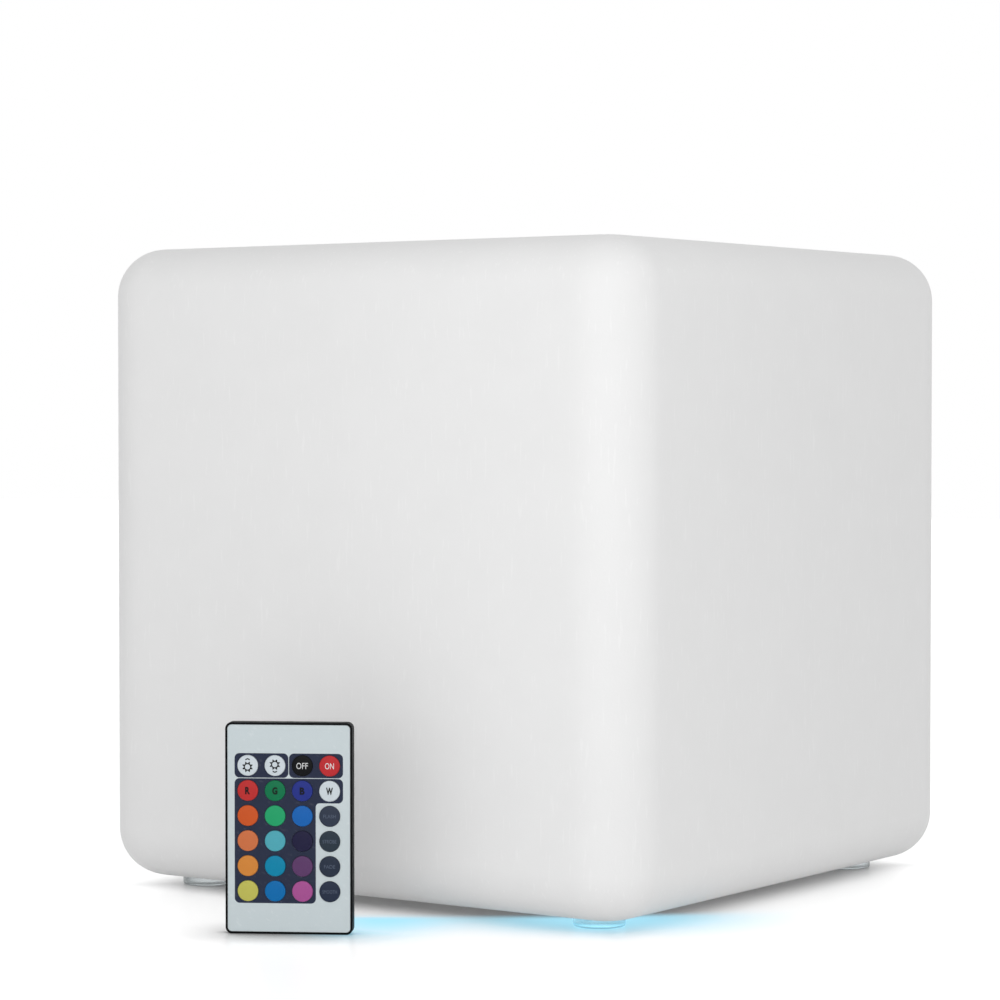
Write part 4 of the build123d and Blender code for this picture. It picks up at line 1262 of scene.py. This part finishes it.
class CUBELIGHT_OT_legends(bpy.types.Operator):
    """Printed words, letters and signs that follow the domes of their keys"""

    bl_idname = "cube_light.legends"
    bl_label = "Legends"

    def execute(self, context):
        keys = context.scene.cube_light.keys
        dark = film_finish("dark ink", keys.dark_ink, scuffed=0)
        light = film_finish("light ink", keys.light_ink, scuffed=0)
        faint = film_finish("faint ink", keys.faint_ink, scuffed=0)
        letter_height, letter_weight = 0.0064, 0.05
        switch_height, mode_height = 0.0053, 0.0030
        self.print_on("brighter", sun_sign(sun_rise=-0.0012, caret_rise=0.0055), dark, context)
        self.print_on("dimmer", sun_sign(sun_rise=0.0010, caret_rise=-0.0053), dark, context)
        for name, width in (("off", 0.0100), ("on", 0.0077)):
            self.print_on(name, lettering(name.upper(), switch_height, width), light, context)
        for name, width in (("red", 0.0043), ("green", 0.0046), ("blue", 0.0043), ("white", 0.0060)):
            letter = name[0].upper()
            self.print_on(name, lettering(letter, letter_height, width, letter_weight), dark, context)
        for name, width in (("flash", 0.0108), ("strobe", 0.0120), ("fade", 0.0096), ("smooth", 0.0126)):
            self.print_on(name, lettering(name.upper(), mode_height, width), faint, context)
        return {"FINISHED"}

    def print_on(self, name, mesh, finish, context):
        """Cuts a flat sign finely enough to follow a dome, lays it on the cap and gives it its thickness."""
        looks = context.scene.cube_light
        thickness = looks.handset.ink_thickness
        for normal in ((1, 0, 0), (0, 1, 0)):
            for step in range(-CUTS_EACH_WAY, CUTS_EACH_WAY + 1):
                geometry = mesh.verts[:] + mesh.edges[:] + mesh.faces[:]
                line = Vector(normal) * (CUT_PITCH * step)
                bmesh.ops.bisect_plane(mesh, geom=geometry, plane_co=line, plane_no=normal, dist=WELD)
        for vertex in mesh.verts:
            vertex.co.z = dome_height(looks.keys, vertex.co.x, vertex.co.y) - thickness / 2
        thicken(mesh, Vector((0, 0, thickness)))
        place = handset_place @ Matrix.Translation(key_centres[name])
        bmesh.ops.transform(mesh, matrix=place, verts=mesh.verts)
        finished_piece(f"legend_{name}", mesh, f"key_{name}", finish)


# --- Stage ---


def seen_directly(tree):
    """1 where the camera, a mirror or clear plastic sees the surface."""
    path = tree.nodes.new("ShaderNodeLightPath").outputs
    mirrored = math_node(tree, "MAXIMUM", path["Is Glossy Ray"], path["Is Transmission Ray"])
    return math_node(tree, "MAXIMUM", path["Is Camera Ray"], mirrored)


def pool_of_light(tree, place, middle_and_reach):
    """Soft elliptical pool on the floor: 1 in its middle, 0 at its reach."""
    x, y, reach_x, reach_y = middle_and_reach
    local = mapped(tree, place, kind="TEXTURE", Location=(x, y, 0), Scale=(reach_x, reach_y, 1))
    distance = node(tree, "ShaderNodeVectorMath", {0: local}, operation="LENGTH").outputs["Value"]
    return graded(tree, distance, 0, 1, 1, 0)


def lamp_glow(tree, place, settings, foot):
    """Mask of the lamp's light on the floor, in front of the near foot as the camera sees it."""
    turn = (0, 0, settings.camera_turn)
    facing = mapped(tree, place, kind="TEXTURE", Location=(*foot, 0), Rotation=turn)
    near_pool = pool_of_light(tree, facing, settings.near_pool)
    side_pool = pool_of_light(tree, facing, settings.side_pool)
    pools = math_node(tree, "ADD", near_pool, side_pool, clamp=True)
    parts = split(tree, facing)
    slant = product(tree, math_node(tree, "MAXIMUM", parts["X"], 0), settings.glow_back_slant)
    behind = math_node(tree, "SUBTRACT", parts["Y"], slant)
    front = graded(tree, behind, settings.glow_back - settings.glow_back_fade, settings.glow_back, 1, 0)
    return product(tree, pools, front)


def floor_material(settings, foot):
    """Glossy white floor; where it is seen, it has a contact shade and the lamp's glow by the near foot."""
    material, tree, shader, place = new_material(
        "studio floor", Roughness=0.3, Specular_IOR_Level=0.3, Emission_Strength=1
    )
    seen = seen_directly(tree)
    glow = product(tree, lamp_glow(tree, place, settings, foot), seen)
    parts = split(tree, place)
    offset_x = math_node(tree, "ABSOLUTE", parts["X"])
    offset_y = math_node(tree, "ABSOLUTE", parts["Y"])
    offset = math_node(tree, "MAXIMUM", offset_x, offset_y)
    cube_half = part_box("cube_shell")[1].x
    unshaded = cube_half + settings.contact_reach
    beside_cube = graded(tree, offset, unshaded, unshaded + settings.cube_margin, 1, 0)
    nearby = node(tree, "ShaderNodeAmbientOcclusion", {"Distance": settings.contact_reach}).outputs["AO"]
    closeness = math_node(tree, "POWER", nearby, settings.contact_depth)
    contact = math_node(tree, "MAXIMUM", closeness, beside_cube)
    shade = math_node(tree, "MAXIMUM", contact, math_node(tree, "SUBTRACT", 1, seen))
    plain = mixed_colour(tree, shade, BLACK, opaque(settings.floor_colour))
    tree.links.new(mixed_colour(tree, glow, plain, BLACK), shader.inputs["Base Color"])
    clear = graded(tree, offset, cube_half - settings.floor_shade, cube_half, 0, 1)
    lift_colour = opaque([settings.floor_lift] * 3)
    lift = mixed_colour(tree, product(tree, contact, clear), BLACK, lift_colour)
    lit = mixed_colour(tree, glow, lift, opaque(settings.glow_floor))
    tree.links.new(mixed_colour(tree, seen, BLACK, lit), shader.inputs["Emission Color"])
    return material


class CUBELIGHT_OT_stage(bpy.types.Operator):
    """Floor, even white surroundings, one large soft lamp and the photograph's camera"""

    bl_idname = "cube_light.stage"
    bl_label = "Stage"

    def execute(self, context):
        settings = context.scene.cube_light.stage
        self.lay_floor(settings, near_foot(context.scene.cube_light.feet))
        self.light_room(context.scene, settings)
        self.hang_lamp(settings)
        self.set_camera(context.scene, settings)
        return {"FINISHED"}

    def lay_floor(self, settings, foot):
        """One large level square."""
        mesh = bmesh.new()
        bmesh.ops.create_grid(mesh, x_segments=FLOOR_CELLS, y_segments=FLOOR_CELLS, size=settings.floor_half)
        data = bpy.data.meshes.new("floor")
        mesh.to_mesh(data)
        mesh.free()
        data.materials.append(floor_material(settings, foot))
        floor = bpy.data.objects.new("floor", data)
        bpy.context.scene.collection.objects.link(floor)

    def light_room(self, scene, settings):
        """Soft light from all round, dimmer from above and from the left, seen as pure white."""
        world = bpy.data.worlds.new("white room")
        world.use_nodes = True
        scene.world = world
        tree = world.node_tree
        tree.nodes.clear()
        heading = tree.nodes.new("ShaderNodeTexCoord").outputs["Generated"]
        parts = split(tree, heading)
        dimmest = settings.room_light * (1 - settings.room_lean)
        brightest = settings.room_light * (1 + settings.room_lean)
        sides = graded(tree, parts["X"], -1, 1, dimmest, brightest, smooth=False)
        upper = graded(tree, parts["Z"], 0, 1, 1, settings.ceiling_share, smooth=False)
        strength = product(tree, sides, upper)
        light = node(tree, "ShaderNodeBackground", {"Color": WHITE, "Strength": strength})
        seen = node(tree, "ShaderNodeBackground", {"Color": WHITE, "Strength": 1})
        sockets = {0: seen_directly(tree), 1: light.outputs[0], 2: seen.outputs[0]}
        blend = node(tree, "ShaderNodeMixShader", sockets)
        node(tree, "ShaderNodeOutputWorld", {"Surface": blend.outputs[0]})

    def hang_lamp(self, settings):
        """Large square fill lamp that faces the cube's middle and casts no shadow of its own."""
        lamp = bpy.data.lights.new("front lamp", "AREA")
        lamp.energy = settings.front_power
        lamp.size = settings.lamp_size
        lamp.use_shadow = False
        holder = bpy.data.objects.new("front lamp", lamp)
        holder.location = settings.front_place
        aim = Vector((0, 0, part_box("cube_shell")[1].z / 2)) - Vector(settings.front_place)
        holder.rotation_mode = "QUATERNION"
        holder.rotation_quaternion = aim.to_track_quat("-Z", "Y")
        holder.visible_camera = False
        bpy.context.scene.collection.objects.link(holder)

    def set_camera(self, scene, settings):
        """Camera at the photograph's place and angle."""
        camera = bpy.data.cameras.new("camera")
        camera.lens = settings.camera_lens
        camera.sensor_width = SENSOR_WIDTH
        camera.clip_start, camera.clip_end = CLEAR_VIEW
        holder = bpy.data.objects.new("camera", camera)
        holder.location = settings.camera_place
        holder.rotation_euler = (QUARTER_TURN - settings.camera_dip, 0, settings.camera_turn)
        scene.collection.objects.link(holder)
        scene.camera = holder
        scene.view_settings.view_transform = "Standard"


# --- Sidebar and registration ---


PIECE_OPERATORS = (
    CUBELIGHT_OT_shell,
    CUBELIGHT_OT_feet,
    CUBELIGHT_OT_lamp_unit,
    CUBELIGHT_OT_charging_panel,
    CUBELIGHT_OT_handset_case,
    CUBELIGHT_OT_keypad_film,
    CUBELIGHT_OT_key_caps,
    CUBELIGHT_OT_legends,
    CUBELIGHT_OT_stage,
)


class CUBELIGHT_PT_sidebar(bpy.types.Panel):
    """Lists the pieces of the cube light in the order in which they are made"""

    bl_idname = "CUBELIGHT_PT_sidebar"
    bl_label = "Cube light"
    bl_space_type = "VIEW_3D"
    bl_region_type = "UI"
    bl_category = "Cube light"

    def draw(self, context):
        settings = context.scene.cube_light
        for operator in PIECE_OPERATORS:
            self.layout.operator(operator.bl_idname)
        for group in ("shell", "lamp", "feet", "handset", "keys", "key_colours", "stage"):
            box = self.layout.box()
            box.label(text=group.replace("_", " ").capitalize())
            owner = getattr(settings, group)
            for name in owner.__annotations__:
                box.prop(owner, name)


CLASSES = (
    ShellSettings,
    LampSettings,
    FootSettings,
    HandsetSettings,
    KeySettings,
    KeyColours,
    StageSettings,
    CubeLightSettings,
    *PIECE_OPERATORS,
    CUBELIGHT_PT_sidebar,
)


def register():
    for item in CLASSES:
        bpy.utils.register_class(item)
    bpy.types.Scene.cube_light = PointerProperty(
        type=CubeLightSettings, name="Cube light", description="Settings of the cube light"
    )


def unregister():
    del bpy.types.Scene.cube_light
    for item in reversed(CLASSES):
        bpy.utils.unregister_class(item)


def main():
    """Makes every piece in order."""
    register()
    for operator in PIECE_OPERATORS:
        name = operator.bl_idname.split(".")[1]
        getattr(bpy.ops.cube_light, name)()


if __name__ == "__main__":
    main()
